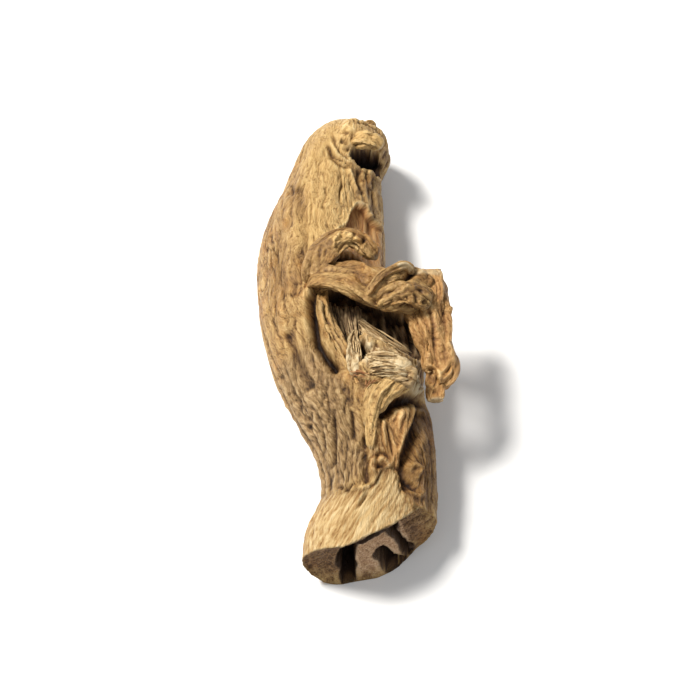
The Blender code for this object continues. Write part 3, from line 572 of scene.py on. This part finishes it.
def resample(stations, steps):
    """The stations' columns read at even steps of a smooth curve through all of them."""
    knots = np.array(stations, float)
    # A turn, in the sixth column, adds nothing to the way from station to station
    gaps = np.linalg.norm(np.diff(knots[:, :5], axis=0), axis=1)
    place = np.concatenate([[0.0], np.cumsum(gaps)])
    slope = np.gradient(knots, place, axis=0)
    at = np.linspace(0.0, place[-1], steps)
    left = np.clip(np.searchsorted(place, at, side="right") - 1, 0, len(place) - 2)
    width = (place[left + 1] - place[left])[:, None]
    s = (at - place[left])[:, None] / width
    return ((2 * s**3 - 3 * s**2 + 1) * knots[left] + (s**3 - 2 * s**2 + s) * width * slope[left]
            + (3 * s**2 - 2 * s**3) * knots[left + 1] + (s**3 - s**2) * width * slope[left + 1])


def ease(value):
    """0 below 0, 1 above 1, and smooth between."""
    t = np.clip(value, 0.0, 1.0)
    return t * t * (3.0 - 2.0 * t)


def unit(vectors):
    return vectors / np.maximum(np.linalg.norm(vectors, axis=-1, keepdims=True), 1e-9)


def columns(*parts):
    """Separate coordinates, as arrays or single numbers, put together as points."""
    return np.stack(np.broadcast_arrays(*parts), axis=-1)


def noise_at(points):
    return np.array([noise.noise(Vector(p)) for p in points])


def noise_vector(points):
    """Three noises from places far apart, as offsets in X, Y and Z."""
    return columns(*(noise_at(points + place) for place in NOISE_PLACES))


def folds(points, spacing):
    """Rounded folds with sharp furrows between them, from 0 in a furrow to about 1."""
    return np.minimum(np.abs(noise_at(points / spacing)) * FOLD_RISE, 1.0) ** FOLD_POWER


def layered_folds(points, layers, shift, mean):
    """The sum of several sizes of fold, each about 0 on average."""
    height = np.zeros(len(points))
    for number, (spacing, tall, stretch) in enumerate(layers):
        stretched = points * (1.0, 1.0 / stretch, 1.0) + shift * (number + 1)
        height += (folds(stretched, spacing) - mean) * tall
    return height


def distance_to(line, x, y):
    """Each point's distance in plan from a line through places in X and Y."""
    nearest = np.full(len(x), np.inf)
    for (x0, y0), (x1, y1) in zip(line, line[1:]):
        run = np.array([x1 - x0, y1 - y0])
        share = np.clip(((x - x0) * run[0] + (y - y0) * run[1]) / (run @ run), 0.0, 1.0)
        nearest = np.minimum(nearest, np.hypot(x - x0 - share * run[0], y - y0 - share * run[1]))
    return nearest


def nearness(zone, x, y):
    """1 on a zone's line, and smoothly down to 0 beyond its reach."""
    line, reach = zone
    return ease(ZONE_SOFTNESS - distance_to(line, x, y) / reach)


def within(line, reach, slope, x, y, ragged):
    """1 inside the ragged edge of a mound or a hollow, and 0 beyond its slope."""
    return ease((reach + EDGE_RAG * ragged - distance_to(line, x, y)) / slope + 0.5)


def facing_up(outward):
    """1 where the surface faces up, down to 0 where it turns under."""
    fast, upright = FACING_UP
    return ease(outward[..., 2] * fast + upright)


def line_gloom(dents):
    """How much painted shade the pressed lines get, by their depth."""
    shallow, span = LINE_GLOOM
    return ease((dents - shallow) / span)


def wandering(points, steps):
    """Offsets that bend straight lines, from a few sizes of smooth noise."""
    return sum(noise_vector(points / spacing) * reach for spacing, reach in steps)


def pressed(lines, x, y, taper=LINE_TAPER):
    """How deep single lines are pressed in at each place, less towards their ends."""
    total = np.zeros(len(x))
    for depth, half, line in lines:
        middle_x, middle_y = np.mean(line, axis=0)
        near = (np.abs(x - middle_x) < LINE_SPAN[0]) & (np.abs(y - middle_y) < LINE_SPAN[1])
        at, along = x[near], y[near]
        ends = [np.hypot(at - end[0], along - end[1]) for end in (line[0], line[-1])]
        thin = ease((np.minimum(*ends) + half) / (taper * half))
        total[near] += depth * thin * np.exp(-((distance_to(line, at, along) / half) ** 2))
    return total


def wavering(x, y, wander):
    """Places shifted a little, so that the lines that are pressed in there waver."""
    return x + LINE_WAVER * wander[:, 0], y + LINE_WAVER * wander[:, 1]


def fleck_lines():
    """Short lines at random all over the bark, most of them along it."""
    random = np.random.default_rng(SEED)
    count, (middle_x, middle_y), (half_x, half_y), shortest, longest, depth, half = FLECKS
    lines = []
    for _ in range(count):
        x = middle_x + random.uniform(-half_x, half_x)
        y = middle_y + random.uniform(-half_y, half_y)
        slant = random.normal(0.0, FLECK_SLANT)
        length = random.uniform(shortest, longest)
        lines.append((random.uniform(*FLECK_DEPTHS) * depth, random.uniform(*FLECK_WIDTHS) * half,
                      ((x, y), (x + slant * length, y + length))))
    return lines


def wood_grain(points):
    """The height of the bare wood's slanting streaks."""
    spacing, tall, stretch, turn = WOOD_STREAKS
    slope = math.radians(turn)
    across = points[:, 0] * math.cos(slope) + points[:, 1] * math.sin(slope)
    along = points[:, 1] * math.cos(slope) - points[:, 0] * math.sin(slope)
    return noise_at(columns(across / spacing, along / spacing / stretch, points[:, 2] / spacing)) * tall


def outward_of(rings):
    """The normal of each point of a grid of rings that close on themselves."""
    round_it = np.roll(rings, -1, axis=1) - np.roll(rings, 1, axis=1)
    along_it = np.gradient(rings, axis=0)
    return unit(np.cross(round_it, along_it))


def averaged(rings, along, around):
    """The grid with each point replaced by the mean over a window of rings and points."""
    padded = np.pad(rings, ((along + 1, along), (0, 0), (0, 0)), mode="edge")
    total = np.cumsum(padded, axis=0)
    rings = (total[2 * along + 1:] - total[:-2 * along - 1]) / (2 * along + 1)
    padded = np.pad(rings, ((0, 0), (around + 1, around), (0, 0)), mode="wrap")
    total = np.cumsum(padded, axis=1)
    return (total[:, 2 * around + 1:] - total[:, :-2 * around - 1]) / (2 * around + 1)


def stand_out(rings, outward, along, around):
    """How far each point stands out of the mean surface round it, in millimetres."""
    return ((rings - averaged(rings, along, around)) * outward).sum(axis=-1)


def mesh_object(name, points, faces, material, fields):
    """One mesh from points in millimetres and a list of arrays of faces, with its named fields."""
    mesh = bpy.data.meshes.new(name)
    places = (points - (*MIDDLE, 0.0)) * MM
    mesh.from_pydata(places.tolist(), [], [face for part in faces for face in part.tolist()])
    mesh.shade_smooth()
    for key, values in fields.items():
        kind, slot = ("FLOAT", "value") if values.ndim == 1 else ("FLOAT_VECTOR", "vector")
        made = mesh.attributes.new(key, kind, "POINT")
        made.data.foreach_set(slot, values.astype(np.float32).ravel())
    mesh.materials.append(material)
    piece = bpy.data.objects.new(name, mesh)
    bpy.context.scene.collection.objects.link(piece)
    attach(piece, "root")
    return piece


def tube_faces(count, sides):
    """Quads over a grid of rings, and a fan at each end onto two more points."""
    ring = np.arange(count - 1)[:, None] * sides
    side = np.arange(sides)
    after = (side + 1) % sides
    quads = columns(ring + side, ring + sides + side, ring + sides + after, ring + after)
    first, last = count * sides, count * sides + 1
    end = (count - 1) * sides
    caps = np.concatenate([columns(side, after, first), columns(end + after, end + side, last)])
    return quads.reshape(-1, 4), caps


def with_ends(grid):
    """A grid's values as one row, then the means of its first ring and its last."""
    return np.concatenate([grid.reshape(-1, *grid.shape[2:]), grid[[0, -1]].mean(axis=1)])


def tube(name, rings, material, fields):
    """A closed mesh over rings of points, with its fields as grids of the same rings."""
    # These rings run the other way round than a thin stem's, so their faces turn to face out
    faces = [part[:, ::-1] for part in tube_faces(*rings.shape[:2])]
    fields = {key: with_ends(values) for key, values in fields.items()}
    return mesh_object(name, with_ends(rings), faces, material, fields)


def sawn_at(x, z):
    """Where the sawn face lies along Y."""
    places, rim, lean = np.array(SAW).T
    return np.interp(x, places, rim) + np.interp(x, places, lean) * (z - SAW_TOP)


def body_rings():
    """The smooth main root as rings of points, with each point's angle and its ring's middle height."""
    rows = resample(TRUNK, BODY_STEPS)
    turn = np.linspace(0.0, 2.0 * math.pi, BODY_SIDES, endpoint=False)
    angle = turn + TOP_CROWDING * np.cos(turn)
    y, middle, half, low, high = (rows[:, i][:, None] for i in range(5))
    half = np.maximum(half, LEAST_HALF)
    tall = np.maximum((high - low) / 2.0, LEAST_HALF)
    level = (high + low) / 2.0
    x = middle + half * np.cos(angle)
    z = level + tall * np.sin(angle)
    askew = ease(1.0 - (y - TRUNK[-1][0]) / SAW_REACH)
    y = y + askew * (sawn_at(x, z) - TRUNK[-1][0])
    return columns(x, y, z), *np.broadcast_arrays(angle, level)


def solid_relief(points, bark, up, ragged):
    """The solid's own folds, furrows, mounds and peeled bark, with the cuts, bare wood and peel."""
    x, y = points[:, 0], points[:, 1]
    wood = ease((np.interp(x, *np.array(BARK_END).T) + ragged - y) / EDGE_STEP)
    height = noise_at(points / LUMPS[0]) * LUMPS[1]
    calm = (1.0 - TOP_CALM * up) * (1.0 - WOOD_CALM * wood)
    height += layered_folds(bark, FOLDS, FOLD_SHIFT, FOLD_MEAN) * calm
    height -= wood * BARK_THICKNESS * up
    cuts = up * pressed(FURROWS, x, y, FURROW_TAPER)
    height -= cuts
    for line, reach, slope, tall in MOUNDS:
        height += up * tall * within(line, reach, slope, x, y, ragged)
    peel_top = np.interp(x, *np.array(PEEL_EDGE).T, left=NO_EDGE) + PEEL_RAG * ragged
    peeled = ease((peel_top - y) / EDGE_STEP) * ease((y - PEEL_FOOT) / PEEL_FADE) * up
    height -= PEEL_DEPTH * peeled
    lip = (1.0 - peeled) * np.exp(-(((y - peel_top) / LIP[1]) ** 2)) * (y > PEEL_FOOT + PEEL_FADE)
    return height + up * LIP[0] * lip, cuts, wood, peeled


def fine_relief(points, bark, wander, up, wood, peeled):
    """What only the eye needs: fine folds, a net of wrinkles, cracks, flecks, grain and single lines."""
    x, y = points[:, 0], points[:, 1]
    share, line, reach = SMOOTH_PART
    plain = np.clip(1.0 - WOOD_PLAIN * wood * up - PEEL_PLAIN * peeled, 0.0, 1.0)
    plain *= 1.0 - (1.0 - share) * nearness((line, reach), x, y)
    height = layered_folds(bark + wander, FINE_FOLDS, FINE_SHIFT, FINE_MEAN)
    spacing, tall, line, reach = NET
    net = folds(points + NET_WANDER * wander, spacing) - FOLD_MEAN
    height += net * tall * nearness((line, reach), x, y)
    spacing, wide, depth, stretch, shift = CRACKS
    slit = np.abs(noise_at((bark + wander) * (1.0, 1.0 / stretch, 1.0) / spacing + shift))
    spacing, contrast, share, shift = CRACK_PATCHES
    cracked = ease(contrast * noise_at(bark / spacing + shift) + share)
    height -= depth * ease(1.0 - slit / wide) * cracked
    x, y = wavering(x, y, wander)
    height -= up * pressed(fleck_lines(), x, y) * (1.0 - wood)
    dents = up * pressed(BODY_LINES, x, y)
    return height * plain + wood_grain(points) * wood * up - dents, dents


def sink_basins(points, moved, level, up, ragged):
    """Sinks moved points to the hollows' floors; gives where hollows and their painted shade are."""
    spacing, stretch, tall, shift = FLOOR_GRAIN
    rough = noise_at(points * (1.0, stretch, 1.0) / spacing + shift) * tall
    hollow, recess_shade = np.zeros(len(points)), np.zeros(len(points))
    for (line, reach, wall, floor), gloom in zip(BASINS, BASIN_GLOOM):
        inside = within(line, reach, wall, points[:, 0], points[:, 1], ragged) * up
        bottom = np.maximum(floor, level + LEAST_WALL) + rough
        sunk = inside * np.maximum(moved[:, 2] - bottom, 0.0)
        moved[:, 2] -= sunk
        hollow = np.maximum(hollow, inside)
        recess_shade = np.maximum(recess_shade, gloom * ease(sunk / DEEP_AT))
    return hollow, recess_shade


def carve(points, angle, level, outward):
    """The main root's surface, its bark coordinates, and the zones that its colour follows."""
    x, y = points[:, 0], points[:, 1]
    up, from_tip = facing_up(outward), TRUNK[0][0] - y
    ragged = noise_at(points / RAGGED[0]) * RAGGED[1]
    bark = columns(np.cos(angle) * BARK_RADIUS, y, np.sin(angle) * BARK_RADIUS)
    height, cuts, wood, peeled = solid_relief(points, bark, up, ragged)

    wander = wandering(points, WANDER)
    crown = columns(x - TRUNK[0][1], y, points[:, 2] - level)
    bark = bark + (crown - bark) * (1.0 - ease(from_tip / CROWN_REACH))[:, None]
    fine, dents = fine_relief(points, bark, wander, up, wood, peeled)
    torn = nearness(TORN_ZONE, x, y) * up
    spacing, mean, tall = TORN_ROUGH
    height += fine + torn * (np.abs(noise_at(points / spacing)) - mean) * tall
    moved = points + outward * (height * ease(from_tip / TIP_REACH))[:, None]

    hollow, recess_shade = sink_basins(points, moved, level, up, ragged)
    moved[:, 2] = np.maximum(moved[:, 2], 0.0)
    # Painted shade, darker by depth in the hollows, the pressed lines and the furrows' floors
    share, shallow, span = FURROW_GLOOM
    recess_shade = np.max([recess_shade, line_gloom(dents), share * ease((cuts - shallow) / span)], axis=0)
    # The zone on the right side is painted shade
    zones = {"wood": wood * up, "torn": torn * (1.0 - hollow), "inner": peeled, "hollow": hollow,
             "warm": nearness(WARM_ZONE, x, y) * up * (1.0 - wood), "grey": nearness(GREY_ZONE, x, y),
             "pale": nearness(PALE_ZONE, x, y) * up, "right_side_shade": nearness(RIGHT_SIDE_SHADE_ZONE, x, y), "recess_shade": recess_shade}
    return moved, bark + wander * (1.0 - WOOD_STEADY * wood)[:, None], zones


def gap_depth(stations, x, z, wider=0.5):
    """How much of a gap's depth each place of the sawn face has, from 0 to 1."""
    dense = resample(stations, GAP_STEPS)
    away = np.hypot(x[:, None] - dense[:, 0], z[:, None] - dense[:, 1])
    nearest = away.argmin(axis=1)
    return ease((dense[nearest, 2] - away[np.arange(len(x)), nearest]) / GAP_EDGE + wider)


def sawn_face(rim):
    """Rings from the sawn end's rim to its middle, sunk into the gaps, with their painted shade and the
    core.
    """
    share = np.linspace(1.0, FACE_CENTRE, FACE_RINGS + 1)[1:, None, None]
    centre = rim.mean(axis=0)
    face = centre + (rim - centre) * share
    flat = face.reshape(-1, 3)
    spacing, reach = GAP_WANDER
    bent = flat + noise_vector(flat / spacing) * reach
    x, z = bent[:, 0], bent[:, 2]
    fade = np.clip((1.0 - share) / FACE_FADE, 0.0, 1.0).repeat(face.shape[1], axis=1).ravel()
    gap = fade * np.max([gap_depth(stations, x, z) for stations, _ in GAPS], axis=0)
    dark = np.max([gap_depth(stations, x, z, wider) for stations, wider in GAPS], axis=0)
    away = np.hypot((x - CORE_MIDDLE[0]) / CORE_REACH[0], (z - CORE_MIDDLE[1]) / CORE_REACH[1])
    core = ease((1.0 - away) / CORE_EDGE + 0.5)
    rough = sum(np.abs(noise_at(flat / size)) * tall for size, tall in FACE_GRAIN)
    rounded = CORE_DOME * core * away**2 + LOBE_SINK * (1.0 - core)
    flat = flat + columns(0.0, GAP_DEPTH * gap + fade * (rough + rounded * (1.0 - gap)), 0.0)
    return flat.reshape(face.shape), dark.reshape(face.shape[:2]), core.reshape(face.shape[:2])


def colour_fields(rings, bark, zones, windows):
    """The fields that the bark's material reads, from the grid and its zones."""
    outward = outward_of(rings)
    # How far each point stands out, for painted shade in grooves and creases and painted highlight on
    # ridges
    relief, cavity = (stand_out(rings, outward, *window) for window in windows)
    fields = {"bark": bark,
              "relief": np.clip(0.5 + relief / RELIEF_SPAN, 0.0, 1.0),
              "cavity": np.clip(0.5 + cavity / CAVITY_SPAN, 0.0, 1.0)}
    blank = np.zeros(rings.shape[:2])
    for name, keys in ZONE_FIELDS.items():
        fields[name] = columns(*(blank + zones.get(key, 0.0) for key in keys))
    return fields


def make_body(material):
    """The main root, from the crown's tip over the sawn end's rim to the middle of its face."""
    rings, angle, level = body_rings()
    outward = outward_of(rings).reshape(-1, 3)
    moved, bark, zones = carve(rings.reshape(-1, 3), angle.ravel(), level.ravel(), outward)
    moved = moved.reshape(rings.shape)
    face, gap, core = sawn_face(moved[-1])
    grid = np.concatenate([moved, face])
    bark = np.concatenate([bark.reshape(rings.shape), face])
    side_blank, face_blank = np.zeros(rings.shape[:2]), np.zeros(gap.shape)
    for key, values in zones.items():
        zones[key] = np.concatenate([values.reshape(side_blank.shape), face_blank])
    inward = np.linspace(*FACE_CUT, FACE_RINGS)[:, None].clip(0.0, 1.0)
    # The gaps' zone is their painted shade, which reaches a little past their edges
    for key, values in (("cut", np.maximum(inward, gap)), ("core", core), ("gap", gap)):
        zones[key] = np.concatenate([side_blank, values])
    return tube("root_body", grid, material, colour_fields(grid, bark, zones, BODY_WINDOWS))


def squared(wave):
    """A wave from -1 to 1 that keeps to its ends for longer."""
    return np.sign(wave) * np.abs(wave) ** LIMB_SQUARE


def limb_rings(stations, sides, steps, rounding, offset):
    """A squared oval tube with folds along it, its bark coordinates, and 0 at its ends to 1 away."""
    rows = resample([(*station, 0.0)[:6] for station in stations], steps)
    centre = rows[:, :3]
    heading = unit(np.gradient(centre, axis=0))
    level = unit(np.cross(heading, (0.0, 0.0, 1.0)))
    over = np.cross(level, heading)
    turn = np.radians(rows[:, 5])[:, None]
    wide = level * np.cos(turn) + over * np.sin(turn)
    thin = over * np.cos(turn) - level * np.sin(turn)

    angle = -np.linspace(0.0, 2.0 * math.pi, sides, endpoint=False)
    cosine, sine = np.cos(angle), np.sin(angle)
    strides = np.linalg.norm(np.diff(centre, axis=0), axis=1)
    run = np.concatenate([[0.0], np.cumsum(strides)])[:, None]
    drum = columns(LIMB_DRUM * cosine, run / LIMB_STRETCH, LIMB_DRUM * sine)
    ripple = folds(drum.reshape(-1, 3) + offset, LIMB_FOLD).reshape(steps, sides)
    ridges, ridge_share, twist = LIMB_RIDGES
    relief = (LIMB_RELIEF * (ripple - FOLD_MEAN)
              + ridge_share * np.cos(ridges * angle + twist * ridges * run))
    to_end = np.minimum(run, run[-1] - run)
    swell = np.sqrt(np.clip(to_end / rounding, LEAST_END, 1.0)) * (1.0 + relief)
    across = swell * rows[:, 3:4] * squared(cosine)
    up = swell * rows[:, 4:5] * squared(sine)
    rings = centre[:, None] + wide[:, None] * across[..., None] + thin[:, None] * up[..., None]
    girth = np.sqrt(rows[:, 3:4] * rows[:, 4:5])
    return rings, columns(girth * cosine, run, girth * sine) + offset, ease(to_end)


def make_limb(name, stations, density, rounding, crumple, material):
    """One limb with fine folds, its ends broken off rough."""
    length = sum(math.dist(a[:3], b[:3]) for a, b in zip(stations, stations[1:]))
    thick = max((station[3] + station[4]) / 2.0 for station in stations)
    steps = int(length * density * LIMB_ALONG)
    sides = int(2.0 * math.pi * thick * density)
    rings, bark, away = limb_rings(stations, sides, steps, rounding, LIMB_SHIFT * len(name))
    outward = outward_of(rings)
    flat = bark.reshape(-1, 3)
    wander = wandering(flat, LIMB_WANDER)
    height = layered_folds(flat + wander, LIMB_FINE_FOLDS, FINE_SHIFT, FINE_MEAN)
    up = facing_up(outward).ravel()
    x, y = rings[..., 0].ravel(), rings[..., 1].ravel()
    dents = up * pressed(LIMB_LINES.get(name, ()), *wavering(x, y, wander))
    height = (height * crumple * min(1.0, thick / LIMB_THICK) - dents).reshape(steps, sides)
    rings = rings + outward * (height * (END_RELIEF + (1.0 - END_RELIEF) * away))[..., None]
    # Painted shade in the pressed lines, and torn tone at the broken ends
    zones = {"torn": (1.0 - away) * END_TORN, "recess_shade": line_gloom(dents).reshape(steps, sides)}
    if name in LIMB_ZONES:
        zone, share = LIMB_ZONES[name]
        zones[zone] = np.maximum(zones.get(zone, 0.0), share)
    if name in LIMB_SPOTS:
        zone, share, spot = LIMB_SPOTS[name]
        near = share * (up * nearness(spot, x, y)).reshape(steps, sides)
        zones[zone] = np.maximum(zones.get(zone, 0.0), near)
    return tube(name, rings, material, colour_fields(rings, bark, zones, LIMB_WINDOWS))


def make_stems(name, paths, material):
    """Many thin tapered stems as one mesh of closed tubes."""
    points, quads, caps, bark, count = [], [], [], [], 0
    angle = np.linspace(0.0, 2.0 * math.pi, STEM_SIDES, endpoint=False)[:, None]
    for number, (path, radii) in enumerate(paths):
        heading = unit(np.gradient(path, axis=0))
        level = unit(np.cross(heading, STEM_LEVEL))
        over = np.cross(level, heading)
        section = level[:, None] * np.cos(angle) + over[:, None] * np.sin(angle)
        points += [(path[:, None] + radii[:, None, None] * section).reshape(-1, 3), path[[0, -1]]]
        more_quads, more_caps = tube_faces(len(path), STEM_SIDES)
        quads.append(more_quads + count)
        caps.append(more_caps + count)
        run = columns(0.0, np.linspace(0.0, STEM_GRAIN[1], len(path)), 0.0)
        run = np.concatenate([run.repeat(STEM_SIDES, axis=0), np.zeros((2, 3))])
        bark.append(run + (STEM_GRAIN[0] * number, 0.0, 0.0))
        count += len(run)
    faces = [np.concatenate(quads), np.concatenate(caps)]
    return mesh_object(name, np.concatenate(points), faces, material, {"bark": np.concatenate(bark)})


def linear(red, green, blue):
    """A colour given in 0 to 255, as the shader takes it."""
    values = np.array([red, green, blue]) / 255.0
    low, high = values / 12.92, ((values + 0.055) / 1.055) ** 2.4
    return (*np.where(values <= 0.04045, low, high), 1.0)


def shade(red, green, blue):
    """A colour as the photograph shows it, less the light that falls on it."""
    return tuple(v / LIGHT for v in linear(red, green, blue)[:3]) + (1.0,)


def add(tree, kind, links=None, **settings):
    """A shader node with its settings, and with each named input linked or set."""
    made = tree.nodes.new("ShaderNode" + kind)
    for key, value in settings.items():
        setattr(made, key, value)
    for key, value in (links or {}).items():
        socket = made.inputs[key]
        if isinstance(value, bpy.types.NodeSocket):
            tree.links.new(value, socket)
        else:
            socket.default_value = value
    return made


def field(tree, name, kind="Fac"):
    return add(tree, "Attribute", attribute_name=name).outputs[kind]


def ramp(value, stops):
    """A colour ramp through stops of a place and a colour as the photograph shows it."""
    made = add(value.id_data, "ValToRGB", {"Fac": value})
    points = made.color_ramp.elements
    while len(points) < len(stops):
        points.new(0.5)
    for point, (place, *colour) in zip(points, stops):
        point.position = place
        point.color = shade(*colour)
    return made.outputs["Color"]


def blend(share, first, second, mode="MIX"):
    """The first colour where the share is 0, and mixed with the second where it is more."""
    made = add(share.id_data, "Mix", {0: share, 6: first, 7: second}, data_type="RGBA", blend_type=mode)
    return made.outputs[2]


def grain(coordinates, scale, squash, detail, roughness=0.6, shift=0.0, turn=0.0):
    """Noise in millimetres, drawn out along the bark by 1 / squash and turned in degrees."""
    tree = coordinates.id_data
    turned = add(tree, "Mapping", {"Vector": coordinates, "Rotation": (0.0, 0.0, math.radians(turn)),
                                   "Location": (shift, shift, shift)})
    drawn = add(tree, "Mapping", {"Vector": turned.outputs[0], "Scale": (1.0, squash, 1.0)})
    made = add(tree, "TexNoise", {"Vector": drawn.outputs[0], "Scale": scale, "Detail": detail,
                                  "Roughness": roughness})
    return made.outputs["Fac"]


def rise(value, low, high, most=1.0):
    """A value's rise from 0 at the low mark to the most at the high one."""
    settings = {"Value": value, "From Min": low, "From Max": high, "To Max": most}
    return add(value.id_data, "MapRange", settings).outputs["Result"]


def weighted(*pairs):
    """The sum of values, each times its weight."""
    total = 0.0
    for value, weight in pairs:
        made = add(value.id_data, "Math", {0: value, 1: weight, 2: total}, operation="MULTIPLY_ADD")
        total = made.outputs[0]
    return total


def new_material(name):
    made = bpy.data.materials.new(name)
    made.use_nodes = True
    tree = made.node_tree
    shader = tree.nodes["Principled BSDF"]
    shader.inputs["Roughness"].default_value = ROUGHNESS.get(name, FIBRE_ROUGHNESS)
    shader.inputs["Specular IOR Level"].default_value = SPECULAR
    return made, tree, shader


def bark_values(tree):
    """What the bark's colour goes by, by name: the mesh's fields and zones, and the noises."""
    values = {name: field(tree, name) for name in ("relief", "cavity")}
    for name, keys in ZONE_FIELDS.items():
        values.update(zip(keys, add(tree, "SeparateXYZ", {0: field(tree, name, "Vector")}).outputs))
    bark = field(tree, "bark", "Vector")
    for name, numbers in GRAINS.items():
        values[name] = grain(bark, *numbers)
    for name, span in GRAIN_SPANS.items():
        values[name] = rise(values[name], *span)
    return values


def bark_material():
    """Dry wrinkled bark, with the bare wood, torn fibre, inner bark and sawn face in their zones."""
    made, tree, shader = new_material("dry_bark")
    values = bark_values(tree)
    mixes = {name: weighted(*((values[key], weight) for key, weight in parts))
             for name, parts in MIXES.items()}

    def tones(name):
        return ramp(mixes.get(name, mixes["bark"]), TONES[name])

    def stain_and_shade(base, name):
        low, high, most, tint = STAINS_AND_SHADES[name]
        return blend(rise(values[name], low, high, most), base, linear(*tint), "MULTIPLY")

    # The bark's own stains in patches
    base = stain_and_shade(stain_and_shade(tones("bark"), "patch"), "other_patch")
    for name, share in SOFT_ZONES:
        broken = weighted((values[name], 1.0), (values["patch"], PATCH_SHARE))
        base = blend(rise(broken, *SOFT_SPAN, share), base, tones(name))
    # Painted shade on the right side, then the bark's own dark specks
    base = stain_and_shade(stain_and_shade(base, "right_side_shade"), "speck")
    for name in SHARP_ZONES:
        base = blend(values[name], base, tones(name))
    face = tones("lobe")
    # Painted shade in the gaps of the sawn face
    for name in ("core", "gap"):
        face = blend(values[name], face, tones(name))
    base = blend(values["cut"], base, face)
    # Painted shade in hollows, pressed lines and furrows, then in creases
    base = stain_and_shade(stain_and_shade(base, "recess_shade"), "cavity")
    tree.links.new(base, shader.inputs["Base Color"])

    strength, distance = BUMP
    bump = add(tree, "Bump", {"Height": mixes["bump"], "Strength": strength, "Distance": distance})
    tree.links.new(bump.outputs[0], shader.inputs["Normal"])
    tree.links.new(rise(mixes["bark"], *ROUGH_SPAN), shader.inputs["Roughness"])
    return made


def fibre_material(name, stops):
    """Pale dry fibre, each one a little different."""
    made, tree, shader = new_material(name)
    tone = grain(field(tree, "bark", "Vector"), *FIBRE_GRAIN)
    tree.links.new(ramp(tone, stops), shader.inputs["Base Color"])
    return made


def make_fibres(name, groups, material, random):
    """Bundles of fibres, each from one line between two places to another."""
    paths = []
    for count, least, most, rise_by, *places in groups:
        first, second, third, fourth = map(np.array, places)
        for _ in range(count):
            share = random.random()
            start = first + (second - first) * share + random.normal(0.0, FIBRE_SCATTER, 3)
            end = third + (fourth - third) * share + random.normal(0.0, FIBRE_SCATTER, 3)
            t = np.linspace(0.0, random.uniform(*FIBRE_LENGTHS), FIBRE_POINTS)[:, None]
            bow = (random.normal(0.0, FIBRE_BOW, 3) + (0.0, 0.0, rise_by)) * np.sin(math.pi * t)
            radii = random.uniform(least, most) * (1.0 - FIBRE_TAPER * t[:, 0] ** 2)
            paths.append((start + (end - start) * t + bow, np.maximum(radii, FIBRE_LEAST)))
    return make_stems(name, paths, material)


def make_splinters(material, random):
    """Short splinters that stand along the torn edges."""
    paths = []
    line = np.array(SPLINTER_LINE)
    across, along, upward = SPLINTER_LEAN
    for _ in range(SPLINTER_COUNT):
        # A place on the line, as the number of its left point and the share of the way to the next
        at = random.uniform(0.0, len(line) - 1.001)
        left = int(at)
        base = line[left] * (1 - at + left) + line[left + 1] * (at - left)
        base = base + random.normal(0.0, FIBRE_SCATTER, 3) - (0.0, 0.0, SPLINTER_ROOT)
        lean = np.array([random.normal(*across), random.normal(*along), random.uniform(*upward)])
        t = np.linspace(0.0, 1.0, SPLINTER_POINTS)[:, None]
        path = base + unit(lean) * random.uniform(*SPLINTER_LENGTHS) * t
        path = path + random.normal(0.0, SPLINTER_BEND, 3) * t**2
        paths.append((path, random.uniform(*SPLINTER_RADII) * (1.0 - SPLINTER_TAPER * t[:, 0])))
    return make_stems("torn_splinters", paths, material)


def make_floor():
    bpy.ops.mesh.primitive_plane_add(size=FLOOR_SIZE, location=(0.0, 0.0, 0.0))
    floor = bpy.context.object
    floor.name = "floor"
    made, _, shader = new_material("pale_floor")
    shader.inputs["Base Color"].default_value = FLOOR_COLOUR
    floor.data.materials.append(made)


def aimed(name, data, place, direction):
    """A light or a camera at a place, looking in a direction."""
    made = bpy.data.objects.new(name, data)
    made.location = place
    made.rotation_mode = "QUATERNION"
    made.rotation_quaternion = direction.to_track_quat("-Z", "Y")
    bpy.context.scene.collection.objects.link(made)
    return made


def make_studio():
    """Area lights that look at the root, and an even sky."""
    for name, place, size, watts, colour in LIGHTS:
        data = bpy.data.lights.new(name, "AREA")
        data.size = size
        data.energy = watts
        data.color = colour
        aimed(name, data, place, -Vector(place))
    world = bpy.data.worlds.new("studio")
    world.use_nodes = True
    sky = world.node_tree.nodes["Background"]
    sky.inputs["Color"].default_value = SKY_COLOUR
    sky.inputs["Strength"].default_value = SKY_STRENGTH
    bpy.context.scene.world = world
    bpy.context.scene.view_settings.view_transform = "Standard"


def make_camera():
    """Looks down at the elevation that the photograph shows the root from."""
    tall = math.radians(CAMERA_ELEVATION)
    back = Vector((0.0, -math.cos(tall), math.sin(tall)))
    target = Vector((np.array(CAMERA_TARGET) - (*MIDDLE, 0.0)) * MM)
    data = bpy.data.cameras.new("camera")
    data.lens = CAMERA_LENS
    data.sensor_width = CAMERA_SENSOR
    data.clip_start = CAMERA_CLIP
    bpy.context.scene.camera = aimed("camera", data, target + back * CAMERA_DISTANCE, -back)


def main():
    make_camera()
    make_floor()
    make_studio()
    random = np.random.default_rng(SEED)
    bark = bark_material()
    body = make_body(bark)
    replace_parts(body, "root")
    for limb in LIMBS:
        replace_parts(make_limb(*limb, bark), "root")
    pale = fibre_material("pale_fibre", TONES["fibre"])
    make_fibres("hollow_fibres", FIBRES, pale, random)
    make_fibres("hollow_strands", STRANDS, fibre_material("brown_fibre", TONES["strand"]), random)
    make_fibres("torn_threads", THREADS, fibre_material("red_fibre", TONES["thread"]), random)
    make_splinters(pale, random)


main()
